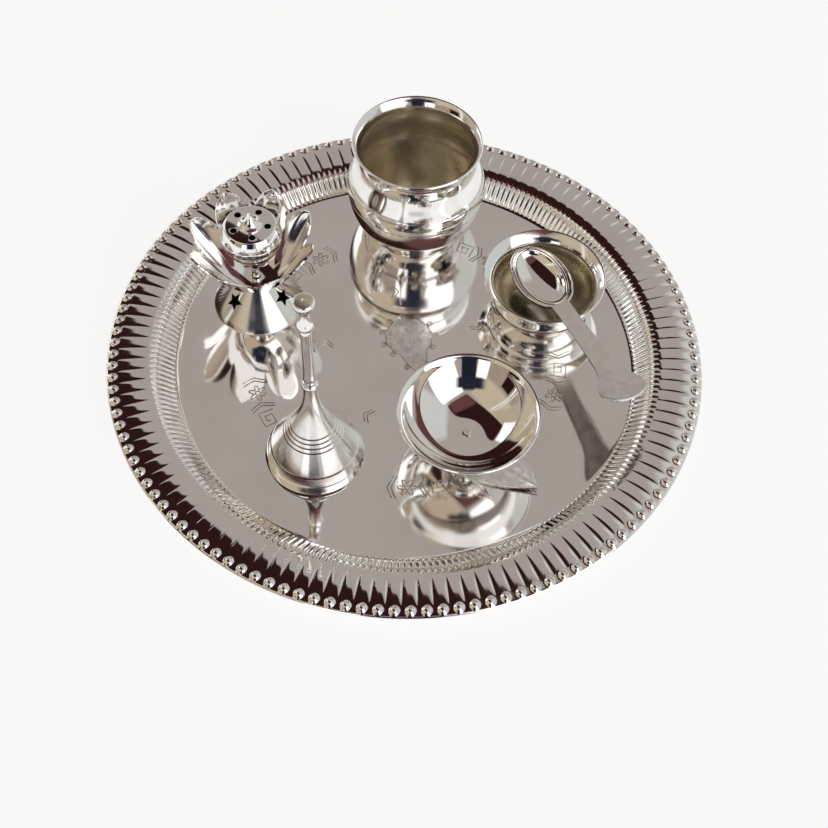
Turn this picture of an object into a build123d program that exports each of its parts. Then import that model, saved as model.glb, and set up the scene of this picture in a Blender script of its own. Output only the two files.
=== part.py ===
from build123d import *
import os
from math import atan, atan2, cos, degrees, pi, radians, sin, tan

# A puja thali: a beaded tray that carries a lota, a cup with a ladle, a lamp, a bell and an incense stand.
# Millimetres, +Z up, with the origin under the middle of the tray's flat floor.

# Clearances and cutter reach that the whole set shares
rest_gap = 0.3
bore_clearance = 0.05
cut_overrun = 1.0

# Tray
tray_radius = 140.0
tray_sheet = 1.2
tray_lip_width = 3.5
tray_bead_width = 2.3
tray_flange_width = 16.7
tray_wall_width = 9.1
tray_wall_height = 7.1
tray_flange_rise = 3.1
tray_bead_rise = 1.0
tray_lip_drop = 1.5
tray_floor_bend_radius = 4.0
tray_wall_bend_radius = 6.0
tray_bead_bend_radius = 1.5

# Places on the tray floor, as shares of the floor's radius
lota_place_shares = (-0.009, 0.775)
cup_place_shares = (0.590, 0.332)
diya_place_shares = (0.277, -0.470)
bell_place_shares = (-0.348, -0.526)
incense_place_shares = (-0.684, 0.258)

# Lota, a small water pot of two spun halves
lota_wall = 1.2
lota_base_radius = 19.0
lota_belly_radius = 34.2
lota_belly_height = 31.0
lota_neck_radius = 28.3
lota_neck_height = 51.5
lota_rim_radius = 31.4
lota_height = 58.8
lota_base_heading = 24.0
lota_lip_heading = 38.0

# Cup
cup_wall = 1.0
cup_base_radius = 15.0
cup_belly_radius = 25.6
cup_belly_height = 11.0
cup_throat_radius = 25.0
cup_throat_height = 16.5
cup_rim_radius = 29.4
cup_height = 22.6
cup_base_heading = 18.0
cup_lip_heading = 34.0

# Ladle that leans over the cup's rim
ladle_bowl_length = 42.0
ladle_bowl_width = 27.6
ladle_bowl_depth = 9.0
ladle_bowl_wall = 0.9
ladle_length = 90.0
ladle_handle_sheet = 1.2
ladle_root_width = 9.0
ladle_waist_width = 11.0
ladle_leaf_width = 22.0
ladle_leaf_length = 22.0
ladle_offset = 2.6
ladle_heading = -65.0
ladle_tilt = 4.0
ladle_bend = 8.0
ladle_corner_share = 0.30

# Diya, an oil lamp on a leaf
diya_wall = 1.0
diya_seat_radius = 6.5
diya_rim_radius = 31.6
diya_bowl_depth = 18.0
diya_height = 31.6
diya_lip_width = 1.8
diya_side_heading = 62.0
diya_lip_heading = 25.0
diya_stem_radius = 6.0
diya_waist_radius = 4.0
diya_leaf_sheet = 1.2
diya_leaf_length = 38.5
diya_leaf_back_length = 22.0
diya_leaf_wide_side = 20.0
diya_leaf_narrow_share = 0.6
diya_tip_height = 1.8
diya_leaf_heading = -30.5
diya_rivet_radius = 1.2
diya_rivet_head_radius = 2.0
diya_rivet_head_height = 0.6
diya_leaf_widest_share = 0.20
diya_leaf_fold_share = 0.38
diya_tip_heading = 137.0
diya_fold_heading = 9.0

# Bell
bell_wall = 1.4
bell_mouth_radius = 22.5
bell_shoulder_radius = 19.4
bell_shoulder_height = 8.5
bell_waist_radius = 12.0
bell_waist_height = 21.5
bell_throat_radius = 5.0
bell_throat_height = 36.5
bell_neck_radius = 2.9
bell_neck_height = 51.5
bell_mouth_heading = 98.0
bell_side_heading = 119.0
bell_throat_heading = 108.0
bell_crown_height = 35.5
bell_height = 110.0
bell_spigot_radius = 1.2
bell_ring_radius = 3.2
bell_grip_radius = 2.5
bell_collar_radius = 3.4
bell_stem_radius = 2.0
bell_knob_radius = 4.5
bell_knob_height = 4.2
bell_knob_dimple_radius = 0.9
bell_ring_shares = (0.0, 0.07)
bell_grip_shares = (0.09, 0.74)
bell_collar_shares = (0.77, 0.81)
bell_stem_share = 0.92

# Clapper and its staple
staple_nut_radius = 2.4
staple_nut_height = 2.6
staple_loop_radius = 2.0
staple_wire_radius = 0.55
clapper_eye_radius = 1.75
clapper_wire_radius = 0.5
clapper_rod_radius = 0.8
clapper_ball_radius = 4.3
clapper_length = 23.0
clapper_eye_gap = 0.15

# Incense stand
cone_sheet = 0.8
cone_foot_radius = 21.7
cone_edge_height = 0.8
cone_top_radius = 3.6
cone_height = 18.6
star_count = 3
star_points = 5
star_radius = 4.7
star_ring_radius = 13.4
star_inner_share = 0.48
star_first_angle = -139.0
petal_sheet = 0.7
petal_count = 8
petal_radius = 29.5
petal_notch_radius = 18.5
petal_height = 30.5
petal_first_angle = 32.5
petal_tip_heading = 54.0
petal_side_share = 0.81
petal_spread_share = 0.72
rod_shaft_radius = 1.9
rod_spigot_radius = 1.15
rod_shaft_length = 14.6
holder_radius = 14.2
holder_wall = 0.8
cap_sheet = 0.9
cap_top_radius = 11.3
cap_edge_height = 0.7
cap_height = 6.9
stick_hole_radius = 1.6
stick_ring_radius = 8.2
stick_count = 5
stick_first_angle = -3.5
finial_radius = 5.8
finial_foot_height = 0.7
finial_tip_radius = 0.5
finial_height = 8.0
finial_bore_depth = 1.9
nut_radius = 3.2
nut_height = 2.2
rod_end_length = 0.6

LEFT_UPRIGHT = 90.0
tray_floor_height = tray_sheet
tray_bead_radius = tray_radius - tray_lip_width
tray_flange_radius = tray_bead_radius - tray_bead_width
tray_wall_radius = tray_flange_radius - tray_flange_width
tray_floor_radius = tray_wall_radius - tray_wall_width
incense_rise = cone_height + petal_sheet
holder_base_height = incense_rise + rod_shaft_length
cap_base_height = holder_base_height + holder_radius
finial_base_height = cap_base_height + cap_height


def at(radius, height):
    """Point of the XZ plane."""
    return Vector(radius, 0, height)


def bent_line(nodes, inset=0):
    """Spline through (radius, height, heading) nodes, moved to its left by inset."""
    points = []
    tangents = []
    for radius, height, heading in nodes:
        along = at(cos(radians(heading)), sin(radians(heading)))
        across = at(-along.Z, along.X)
        points.append(at(radius, height) + across * inset)
        tangents.append(along)
    return Spline(*points, tangents=tangents)


def mitred(points, inset):
    """Points of an open line moved to its left by inset, with mitred corners."""
    turns = [atan2(b[1] - a[1], b[0] - a[0]) for a, b in zip(points, points[1:])]
    befores = [turns[0]] + turns
    afters = turns + [turns[-1]]
    moved = []
    for (radius, height), before, after in zip(points, befores, afters):
        middle = (before + after) / 2
        reach = inset / cos((after - before) / 2)
        moved.append((radius - reach * sin(middle), height + reach * cos(middle)))
    return moved


def enclosed(*curves):
    """Flat face inside curves that join end to end."""
    return Face(Wire([edge for curve in curves for edge in curve.edges()]))


def turned(*curves):
    """Solid of revolution about Z of the face that the curves enclose."""
    return revolve(enclosed(*curves), Axis.Z)


def turned_points(points):
    """Solid of revolution of a closed outline of (radius, height) points."""
    corners = [at(*point) for point in points]
    return turned(Polyline(*corners, corners[0]))


def sheet_face(nodes, sheet):
    """Section of a sheet that follows the nodes and lies on their left."""
    outer = bent_line(nodes)
    inner = bent_line(nodes, sheet)
    return enclosed(outer, Line(outer @ 1, inner @ 1), inner, Line(inner @ 0, outer @ 0))


def spun_shell(nodes, wall):
    """Spun shell, open at both ends."""
    return revolve(sheet_face(nodes, wall), Axis.Z)


def spun_vessel(nodes, wall):
    """Spun vessel with a flat closed base."""
    outer = bent_line(nodes)
    inner = bent_line(nodes, wall)
    outer_start = outer @ 0
    inner_start = inner @ 0
    base = Line(at(0, outer_start.Z), outer_start)
    floor = Line(inner_start, at(0, inner_start.Z))
    axis = Line(at(0, inner_start.Z), at(0, outer_start.Z))
    return turned(base, outer, Line(outer @ 1, inner @ 1), inner, floor, axis)


def folded_shell(points, sheet):
    """Turned shell of straight runs that ends on the axis."""
    return turned_points(points + mitred(points, sheet)[::-1])


def rod(radius, low, high):
    """Upright cylinder between two heights."""
    return Pos(0, 0, low) * Cylinder(radius, high - low, align=(Align.CENTER, Align.CENTER, Align.MIN))


def bore(radius, low, high):
    """Cutter for a round hole that runs past both heights."""
    return rod(radius, low - cut_overrun, high + cut_overrun)


def place(shares):
    """Location of a piece that stands on the tray floor."""
    return Pos(shares[0] * tray_floor_radius, shares[1] * tray_floor_radius, tray_floor_height)


def thali_tray():
    """Pressed tray: flat floor, sloping wall, broad flange, bead ridge and lip."""
    wall_top = tray_floor_height + tray_wall_height
    flange_top = wall_top + tray_flange_rise
    bead_top = flange_top + tray_bead_rise
    top = [
        (0, tray_floor_height),
        (tray_floor_radius, tray_floor_height),
        (tray_wall_radius, wall_top),
        (tray_flange_radius, flange_top),
        (tray_bead_radius, bead_top),
        (tray_radius, bead_top - tray_lip_drop),
    ]
    bends = [tray_floor_bend_radius, tray_wall_bend_radius, tray_bead_bend_radius, tray_bead_bend_radius]
    above = FilletPolyline(*[at(*point) for point in top], radius=bends)
    below = FilletPolyline(*[at(*point) for point in mitred(top, -tray_sheet)], radius=bends)
    return turned(below, Line(below @ 1, above @ 1), above, Line(above @ 0, below @ 0))


def lota_lower_bowl():
    """Lower half of the lota, from its flat base to the belly seam."""
    base = (lota_base_radius, 0, lota_base_heading)
    belly = (lota_belly_radius, lota_belly_height, LEFT_UPRIGHT)
    return spun_vessel([base, belly], lota_wall)


def lota_upper_shell():
    """Upper half of the lota: shoulder, neck and flared lip."""
    belly = (lota_belly_radius, lota_belly_height, LEFT_UPRIGHT)
    neck = (lota_neck_radius, lota_neck_height, LEFT_UPRIGHT)
    lip_rise = lota_wall * cos(radians(lota_lip_heading))
    rim = (lota_rim_radius, lota_height - lip_rise, lota_lip_heading)
    return spun_shell([belly, neck, rim], lota_wall)


def cup_body():
    """Offering cup with a rounded belly, a slight throat and a wide lip."""
    lip_rise = cup_wall * cos(radians(cup_lip_heading))
    nodes = [
        (cup_base_radius, 0, cup_base_heading),
        (cup_belly_radius, cup_belly_height, LEFT_UPRIGHT),
        (cup_throat_radius, cup_throat_height, LEFT_UPRIGHT),
        (cup_rim_radius, cup_height - lip_rise, cup_lip_heading),
    ]
    return spun_vessel(nodes, cup_wall)


def half_round_shell(radius, wall):
    """Lower half of a hollow ball, with its rim at height zero."""
    hollow = radius - wall
    slant = sin(radians(LEFT_UPRIGHT) / 2)
    outer = ThreePointArc(at(0, -radius), at(slant * radius, -slant * radius), at(radius, 0))
    inner = ThreePointArc(at(0, -hollow), at(slant * hollow, -slant * hollow), at(hollow, 0))
    return turned(outer, Line(at(radius, 0), at(hollow, 0)), inner, Line(at(0, -hollow), at(0, -radius)))


def half_oval(length, width, depth):
    """Lower half of a solid oval, with its flat face at height zero."""
    slant = sin(radians(LEFT_UPRIGHT) / 2)
    arc = ThreePointArc(at(0, -1), at(slant, -slant), at(1, 0))
    ball = turned(arc, Line(at(1, 0), at(0, 0)), Line(at(0, 0), at(0, -1)))
    return scale(ball, by=(length / 2, width / 2, depth))


def ladle_bowl():
    """Oval ladle bowl."""
    hollow_length = ladle_bowl_length - 2 * ladle_bowl_wall
    hollow_width = ladle_bowl_width - 2 * ladle_bowl_wall
    hollow = half_oval(hollow_length, hollow_width, ladle_bowl_depth - ladle_bowl_wall)
    return half_oval(ladle_bowl_length, ladle_bowl_width, ladle_bowl_depth) - hollow


def ladle_root_reach():
    """Distance from the middle of the bowl to the handle's root."""
    return ladle_bowl_length / 2 - ladle_bowl_wall


def ladle_handle():
    """Flat handle that is brazed on the bowl's rim, bends up there and ends in a leaf."""
    length = ladle_length - ladle_root_reach()
    root = Vector(0, ladle_root_width / 2)
    waist = Vector(length - ladle_leaf_length, ladle_waist_width / 2)
    corner = Vector(length - ladle_corner_share * ladle_leaf_length, ladle_leaf_width / 2)
    tip = Vector(length, 0)
    along = Vector(1, 0)
    across = Vector(0, -1)
    side = Spline(root, waist, corner, tangents=[along, along, along])
    end = Spline(corner, tip, tangents=[along, across])
    far = [mirror(curve, Plane.XZ) for curve in (end, side)]
    plate = enclosed(side, end, *far, Line(Vector(root.X, -root.Y), root))
    sheet = extrude(plate, ladle_handle_sheet, dir=(0, 0, 1))
    return Pos(ladle_root_reach(), 0, 0) * Rot(0, -ladle_bend, 0) * sheet


def ladle_location():
    """Pose of the ladle: handle on the cup's rim, bowl against the wall behind it."""
    lip_edge = cup_rim_radius - cup_wall * sin(radians(cup_lip_heading))
    tilt = radians(ladle_tilt)
    handle_tilt = radians(ladle_tilt + ladle_bend)
    run = ladle_offset + lip_edge - ladle_root_reach() * cos(tilt)
    rise = ladle_root_reach() * sin(tilt) + run * tan(handle_tilt)
    centre_height = cup_height + rest_gap - rise
    turn = radians(ladle_heading)
    shift = Pos(-ladle_offset * cos(turn), -ladle_offset * sin(turn), centre_height)
    return place(cup_place_shares) * shift * Rot(0, 0, ladle_heading) * Rot(0, -ladle_tilt, 0)


def diya_leaf_base():
    """Leaf-shaped sheet that lies on the tray and turns up at its tip."""
    fold = diya_leaf_fold_share * diya_leaf_length
    nodes = [
        (-diya_leaf_back_length - cut_overrun, 0, 0),
        (fold, 0, 0),
        (diya_leaf_length + cut_overrun, diya_tip_height, diya_fold_heading),
    ]
    sheet = extrude(sheet_face(nodes, diya_leaf_sheet), diya_leaf_wide_side + cut_overrun, both=True)
    tip_turn = radians(diya_tip_heading)
    tip = Vector(diya_leaf_length, 0)
    back = Vector(-diya_leaf_back_length, 0)
    sides = []
    for share in (1, -diya_leaf_narrow_share):
        widest = Vector(diya_leaf_widest_share * diya_leaf_length, share * diya_leaf_wide_side)
        leave = Vector(cos(tip_turn), share * sin(tip_turn))
        sides.append(Spline(tip, widest, back, tangents=[leave, Vector(-1, 0), Vector(0, -share)]))
    outline = enclosed(*sides)
    height = diya_tip_height + diya_leaf_sheet + cut_overrun
    blank = extrude(outline, height, dir=(0, 0, 1))
    hole = bore(diya_rivet_radius + bore_clearance, 0, diya_leaf_sheet)
    return (sheet & blank) - hole


def diya_bowl_base():
    """Height of the underside of the diya's bowl."""
    return diya_height - diya_bowl_depth - diya_wall


def diya_stem():
    """Waisted stem from the leaf to the bowl, bored for the rivet."""
    low = diya_leaf_sheet
    high = diya_bowl_base()
    foot = at(diya_stem_radius, low)
    waist = at(diya_waist_radius, (low + high) / 2)
    seat = at(diya_seat_radius, high)
    side = ThreePointArc(foot, waist, seat)
    body = turned(Line(at(0, low), foot), side, Line(seat, at(0, high)), Line(at(0, high), at(0, low)))
    return body - bore(diya_rivet_radius + bore_clearance, low, high)


def diya_bowl():
    """Round oil bowl with a small everted lip, bored for the rivet."""
    lip_turn = radians(diya_lip_heading)
    lip_rise = diya_wall * cos(lip_turn)
    low = diya_bowl_base()
    rim_height = diya_height - lip_rise
    side_height = rim_height - diya_lip_width * sin(radians(diya_side_heading))
    nodes = [
        (diya_seat_radius, low, 0),
        (diya_rim_radius - diya_lip_width, side_height, diya_side_heading),
        (diya_rim_radius, rim_height, diya_lip_heading),
    ]
    return spun_vessel(nodes, diya_wall) - bore(diya_rivet_radius + bore_clearance, low, low + diya_wall)


def diya_rivet():
    """Rivet from the leaf's underside to a flat head in the bowl."""
    seat = diya_bowl_base() + diya_wall
    return rod(diya_rivet_radius, 0, seat) + rod(diya_rivet_head_radius, seat, seat + diya_rivet_head_height)


def bell_nodes():
    """Outline of the bell from its mouth to the top of its neck."""
    return [
        (bell_mouth_radius, 0, bell_mouth_heading),
        (bell_shoulder_radius, bell_shoulder_height, bell_side_heading),
        (bell_waist_radius, bell_waist_height, bell_side_heading),
        (bell_throat_radius, bell_throat_height, bell_throat_heading),
        (bell_neck_radius, bell_neck_height, LEFT_UPRIGHT),
    ]


def bell_cup():
    """Bell with its mouth on the tray, hollow up to the crown."""
    outer = bent_line(bell_nodes())
    mouth = Line(at(0, 0), outer @ 0)
    top = Line(outer @ 1, at(0, bell_neck_height))
    body = turned(mouth, outer, top, Line(at(0, bell_neck_height), at(0, 0)))
    inner = bent_line(bell_nodes(), bell_wall)
    start = inner @ 0
    end = inner @ 1
    low = Line(at(0, start.Z), start)
    high = Line(end, at(0, end.Z))
    cavity = turned(low, inner, high, Line(at(0, end.Z), at(0, start.Z)))
    hollow = cavity & rod(bell_mouth_radius, start.Z, bell_crown_height)
    return body - hollow - bore(bell_spigot_radius + bore_clearance, bell_crown_height, bell_neck_height)


def bell_handle():
    """Turned handle with ring, grip and collar, and a spigot through the crown."""
    length = bell_height - bell_knob_height - bell_neck_height
    ring = [(bell_ring_radius, share) for share in bell_ring_shares]
    grip = [(bell_grip_radius, share) for share in bell_grip_shares]
    collar = [(bell_collar_radius, share) for share in bell_collar_shares]
    stem = [(bell_stem_radius, bell_stem_share), (bell_collar_radius, 1)]
    side = [(radius, bell_neck_height + share * length) for radius, share in ring + grip + collar + stem]
    low = (0, bell_neck_height)
    high = (0, bell_neck_height + length)
    return turned_points([low, *side, high]) + rod(bell_spigot_radius, staple_base(), bell_neck_height)


def bell_handle_knob():
    """Flat knob with a small dimple on top."""
    low = bell_height - bell_knob_height
    middle = bell_height - bell_knob_height / 2
    side = ThreePointArc(
        at(bell_collar_radius, low),
        at(bell_knob_radius, middle),
        at(bell_collar_radius, bell_height),
    )
    top = Line(at(bell_collar_radius, bell_height), at(0, bell_height))
    base = Line(at(0, low), at(bell_collar_radius, low))
    body = turned(base, side, top, Line(at(0, bell_height), at(0, low)))
    return body - Pos(0, 0, bell_height) * Sphere(bell_knob_dimple_radius)


def staple_base():
    """Height of the underside of the staple's nut."""
    return bell_crown_height - staple_nut_height


def clapper_pivot():
    """Height of the wire that the clapper's eye hangs on."""
    return staple_base() - staple_wire_radius - staple_loop_radius


def bell_clapper_staple():
    """Round nut on the handle's spigot, with a wire loop under it."""
    nut = rod(staple_nut_radius, staple_base(), bell_crown_height)
    nut = nut - bore(bell_spigot_radius + bore_clearance, staple_base(), bell_crown_height)
    loop_centre = clapper_pivot() + staple_loop_radius
    loop = Pos(0, 0, loop_centre) * Rot(90, 0, 0) * Torus(staple_loop_radius, staple_wire_radius)
    return nut + (loop - rod(bell_spigot_radius + bore_clearance, staple_base(), bell_crown_height))


def bell_clapper():
    """Clapper: an eye round the staple's wire, a rod and a ball."""
    pivot = clapper_pivot()
    eye_drop = clapper_eye_radius - clapper_wire_radius - staple_wire_radius - clapper_eye_gap
    eye_centre = pivot - eye_drop
    eye = Pos(0, 0, eye_centre) * Rot(0, 90, 0) * Torus(clapper_eye_radius, clapper_wire_radius)
    ball_centre = pivot - clapper_length
    stem = rod(clapper_rod_radius, ball_centre, eye_centre - clapper_eye_radius)
    return eye + stem + Pos(0, 0, ball_centre) * Sphere(clapper_ball_radius)


def star_cutter(angle):
    """Star-shaped cutter square to the cone's side at an angle round it."""
    slope = (cone_height - cone_edge_height) / (cone_foot_radius - cone_top_radius)
    height = cone_edge_height + slope * (cone_foot_radius - star_ring_radius)
    turn = radians(angle)
    centre = Vector(star_ring_radius * cos(turn), star_ring_radius * sin(turn), height)
    outward = Vector(slope * cos(turn), slope * sin(turn), 1)
    level = Vector(-sin(turn), cos(turn), 0)
    corners = []
    for step in range(2 * star_points):
        radius = star_radius if step % 2 == 0 else star_inner_share * star_radius
        bearing = radians(LEFT_UPRIGHT) + step * pi / star_points
        corners.append(Vector(radius * cos(bearing), radius * sin(bearing)))
    star = Face(Wire(Polyline(*corners, corners[0]).edges()))
    return extrude(Plane(centre, level, outward) * star, 2 * cone_sheet, both=True)


def incense_base_cone():
    """Spun cone foot with star cut-outs and a flat top."""
    outline = [
        (cone_foot_radius, 0),
        (cone_foot_radius, cone_edge_height),
        (cone_top_radius, cone_height),
        (0, cone_height),
    ]
    body = folded_shell(outline, cone_sheet)
    for index in range(star_count):
        body = body - star_cutter(star_first_angle + index * 360 / star_count)
    return body - bore(rod_spigot_radius + bore_clearance, cone_height - cone_sheet, cone_height)


def petal_outline():
    """Closed outline of pointed petals round the rod."""
    half_pitch = 180 / petal_count
    edges = []

    def spot(radius, angle):
        return Vector(radius * cos(radians(angle)), radius * sin(radians(angle)))

    for index in range(petal_count):
        middle = petal_first_angle + 2 * index * half_pitch
        spread = petal_spread_share * half_pitch
        tip = spot(petal_radius, middle)
        for side in (-1, 1):
            notch = spot(petal_notch_radius, middle + side * half_pitch)
            bulge = spot(petal_side_share * petal_radius, middle + side * spread)
            edges.append(ThreePointArc(notch, bulge, tip))
    return enclosed(*edges)


def incense_petals():
    """Stamped lotus that is clamped between the foot and the rod's shoulder."""
    hole_radius = rod_spigot_radius + bore_clearance
    nodes = [
        (hole_radius, 0, 0),
        (cone_top_radius, 0, 0),
        (petal_radius + cut_overrun, petal_height, petal_tip_heading),
    ]
    dish = spun_shell(nodes, petal_sheet)
    height = petal_height + petal_sheet + 2 * cut_overrun
    blank = Pos(0, 0, -cut_overrun) * extrude(petal_outline(), height, dir=(0, 0, 1))
    return Pos(0, 0, cone_height) * (dish & blank)


def incense_rod():
    """Shouldered rod that ties the foot, lotus, holder and finial together."""
    low = cone_height - cone_sheet - nut_height - rod_end_length
    high = finial_base_height + finial_bore_depth - rod_end_length
    shaft = rod(rod_shaft_radius, incense_rise, holder_base_height)
    return shaft + rod(rod_spigot_radius, low, high)


def incense_cup():
    """Half-round holder under the cap."""
    shell = Pos(0, 0, cap_base_height) * half_round_shell(holder_radius, holder_wall)
    inside = holder_base_height + holder_wall
    return shell - bore(rod_spigot_radius + bore_clearance, holder_base_height, inside)


def incense_cap():
    """Shouldered cap with a ring of stick holes."""
    outline = [
        (holder_radius, 0),
        (holder_radius, cap_edge_height),
        (cap_top_radius, cap_height),
        (0, cap_height),
    ]
    body = folded_shell(outline, cap_sheet)
    body = body - bore(rod_spigot_radius + bore_clearance, cap_height - cap_sheet, cap_height)
    for index in range(stick_count):
        turn = radians(stick_first_angle + index * 360 / stick_count)
        spot = Pos(stick_ring_radius * cos(turn), stick_ring_radius * sin(turn), 0)
        body = body - spot * bore(stick_hole_radius, cap_height - cap_sheet, cap_height)
    return Pos(0, 0, cap_base_height) * body


def incense_finial():
    """Pointed nut with hollow-curved sides on the rod's top end."""
    low = finial_base_height
    foot = low + finial_foot_height
    tip = low + finial_height
    side = Spline(
        at(finial_radius, foot),
        at(finial_tip_radius, tip),
        tangents=[at(-1, finial_foot_height / finial_radius), at(0, 1)],
    )
    base = Polyline(at(0, low), at(finial_radius, low), at(finial_radius, foot))
    top = Line(at(finial_tip_radius, tip), at(0, tip))
    body = turned(base, side, top, Line(at(0, tip), at(0, low)))
    return body - rod(rod_spigot_radius + bore_clearance, low - cut_overrun, low + finial_bore_depth)


def incense_nut():
    """Hexagon nut inside the foot."""
    low = cone_height - cone_sheet - nut_height
    blank = extrude(RegularPolygon(nut_radius, 6), nut_height, dir=(0, 0, 1))
    return Pos(0, 0, low) * blank - bore(rod_spigot_radius + bore_clearance, low, low + nut_height)


def pieces():
    """Every piece in its place on the tray, by node name."""
    lota = place(lota_place_shares)
    cup = place(cup_place_shares)
    ladle = ladle_location()
    diya = place(diya_place_shares) * Rot(0, 0, diya_leaf_heading)
    bell = place(bell_place_shares)
    stand = place(incense_place_shares)
    return {
        "thali_tray": thali_tray(),
        "lota_lower_bowl": lota * lota_lower_bowl(),
        "lota_upper_shell": lota * lota_upper_shell(),
        "cup_body": cup * cup_body(),
        "ladle_bowl": ladle * ladle_bowl(),
        "ladle_handle": ladle * ladle_handle(),
        "diya_leaf_base": diya * diya_leaf_base(),
        "diya_stem": diya * diya_stem(),
        "diya_bowl": diya * diya_bowl(),
        "diya_rivet": diya * diya_rivet(),
        "bell_cup": bell * bell_cup(),
        "bell_handle": bell * bell_handle(),
        "bell_handle_knob": bell * bell_handle_knob(),
        "bell_clapper_staple": bell * bell_clapper_staple(),
        "bell_clapper": bell * bell_clapper(),
        "incense_base_cone": stand * incense_base_cone(),
        "incense_petals": stand * incense_petals(),
        "incense_rod": stand * incense_rod(),
        "incense_cup": stand * incense_cup(),
        "incense_cap": stand * incense_cap(),
        "incense_finial": stand * incense_finial(),
        "incense_nut": stand * incense_nut(),
    }


os.makedirs("parts", exist_ok=True)
for name, piece in pieces().items():
    export_step(piece, f"parts/{name}.step")
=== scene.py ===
"""Looks of a puja thali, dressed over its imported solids.

A beaded tray carries a lota, a cup with its ladle, a diya, a hand bell and an incense stand.
Sizes are millimetres until they reach a mesh, and heights of the loose pieces count from the tray's floor.
"""

from __future__ import annotations

import logging
import math
from dataclasses import dataclass
from enum import Enum

import bpy
from mathutils import Matrix, Vector

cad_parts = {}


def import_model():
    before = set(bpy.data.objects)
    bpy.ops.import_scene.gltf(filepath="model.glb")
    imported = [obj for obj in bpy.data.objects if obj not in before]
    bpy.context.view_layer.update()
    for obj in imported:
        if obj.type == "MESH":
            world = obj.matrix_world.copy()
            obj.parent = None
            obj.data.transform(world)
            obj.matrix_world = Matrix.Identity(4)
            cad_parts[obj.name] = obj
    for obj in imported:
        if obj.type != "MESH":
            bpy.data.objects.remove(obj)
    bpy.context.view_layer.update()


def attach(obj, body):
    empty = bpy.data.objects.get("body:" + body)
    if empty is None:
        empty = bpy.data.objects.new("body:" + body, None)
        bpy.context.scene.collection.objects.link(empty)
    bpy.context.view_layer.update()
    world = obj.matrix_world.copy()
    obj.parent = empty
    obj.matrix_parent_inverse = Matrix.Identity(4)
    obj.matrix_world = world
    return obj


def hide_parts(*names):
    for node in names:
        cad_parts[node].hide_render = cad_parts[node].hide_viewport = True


LOG = logging.getLogger("puja_thali")
MM = 0.001
FULL_TURN = 2 * math.pi
FLOOR_TOP = 1.2
CLEARANCE = 0.05
SMOOTH_ANGLE = 34.0
BEVEL_ANGLE = 50.0

Point = tuple[float, float]
Color = tuple[float, float, float]
Station = tuple[float, float, float]


class Finish(Enum):
    """Finishes that the pieces wear."""

    POLISHED = "polished_silver"
    MIRROR = "mirror_silver"
    PRESSED = "pressed_silver"
    TURNED = "turned_silver"
    TARNISHED = "tarnished_inside"
    # Painted shade: near-black colour that stands in for the shade inside the incense stand's hollow cone,
    # holder and cap.
    SOOTY = "painted_shade_inside"
    STIPPLED = "stippled_silver"
    WORN = "worn_silver"
    CHASED = "chased_line"
    PALE_BRASS = "pale_brass"
    STEEL = "plain_steel"


@dataclass(frozen=True)
class MetalRecipe:
    """How one metal finish is mixed.

    Attributes:
        bright: Colour of clean metal, or the lighter tone where the finish is painted shade.
        dull: Colour of handled or tarnished metal, or the darker tone where the finish is painted shade.
        smooth: Roughness of the clean metal.
        rough: Roughness of the dull metal.
        patch: Size of the clouds between clean and dull, in millimetres.
        grain: Size of the fine surface grain, in millimetres.
        grain_depth: Depth of the grain, in millimetres.
        wave: Size of the slow waves of beaten sheet, in millimetres.
        wave_depth: Depth of those waves, in millimetres.
        ring_pitch: Step between turning lines, in millimetres, or zero for none.
        ring_depth: Depth of the turning lines, in millimetres.
        streak: How far turning lines draw reflections out along the outline, from 0 to 1.
        metal: Share of bare metal, the rest being a thin dull film.
    """

    bright: Color
    dull: Color
    smooth: float
    rough: float
    patch: float
    grain: float
    grain_depth: float
    wave: float = 24.0
    wave_depth: float = 0.0
    ring_pitch: float = 0.0
    ring_depth: float = 0.0
    streak: float = 0.0
    metal: float = 1.0


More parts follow.
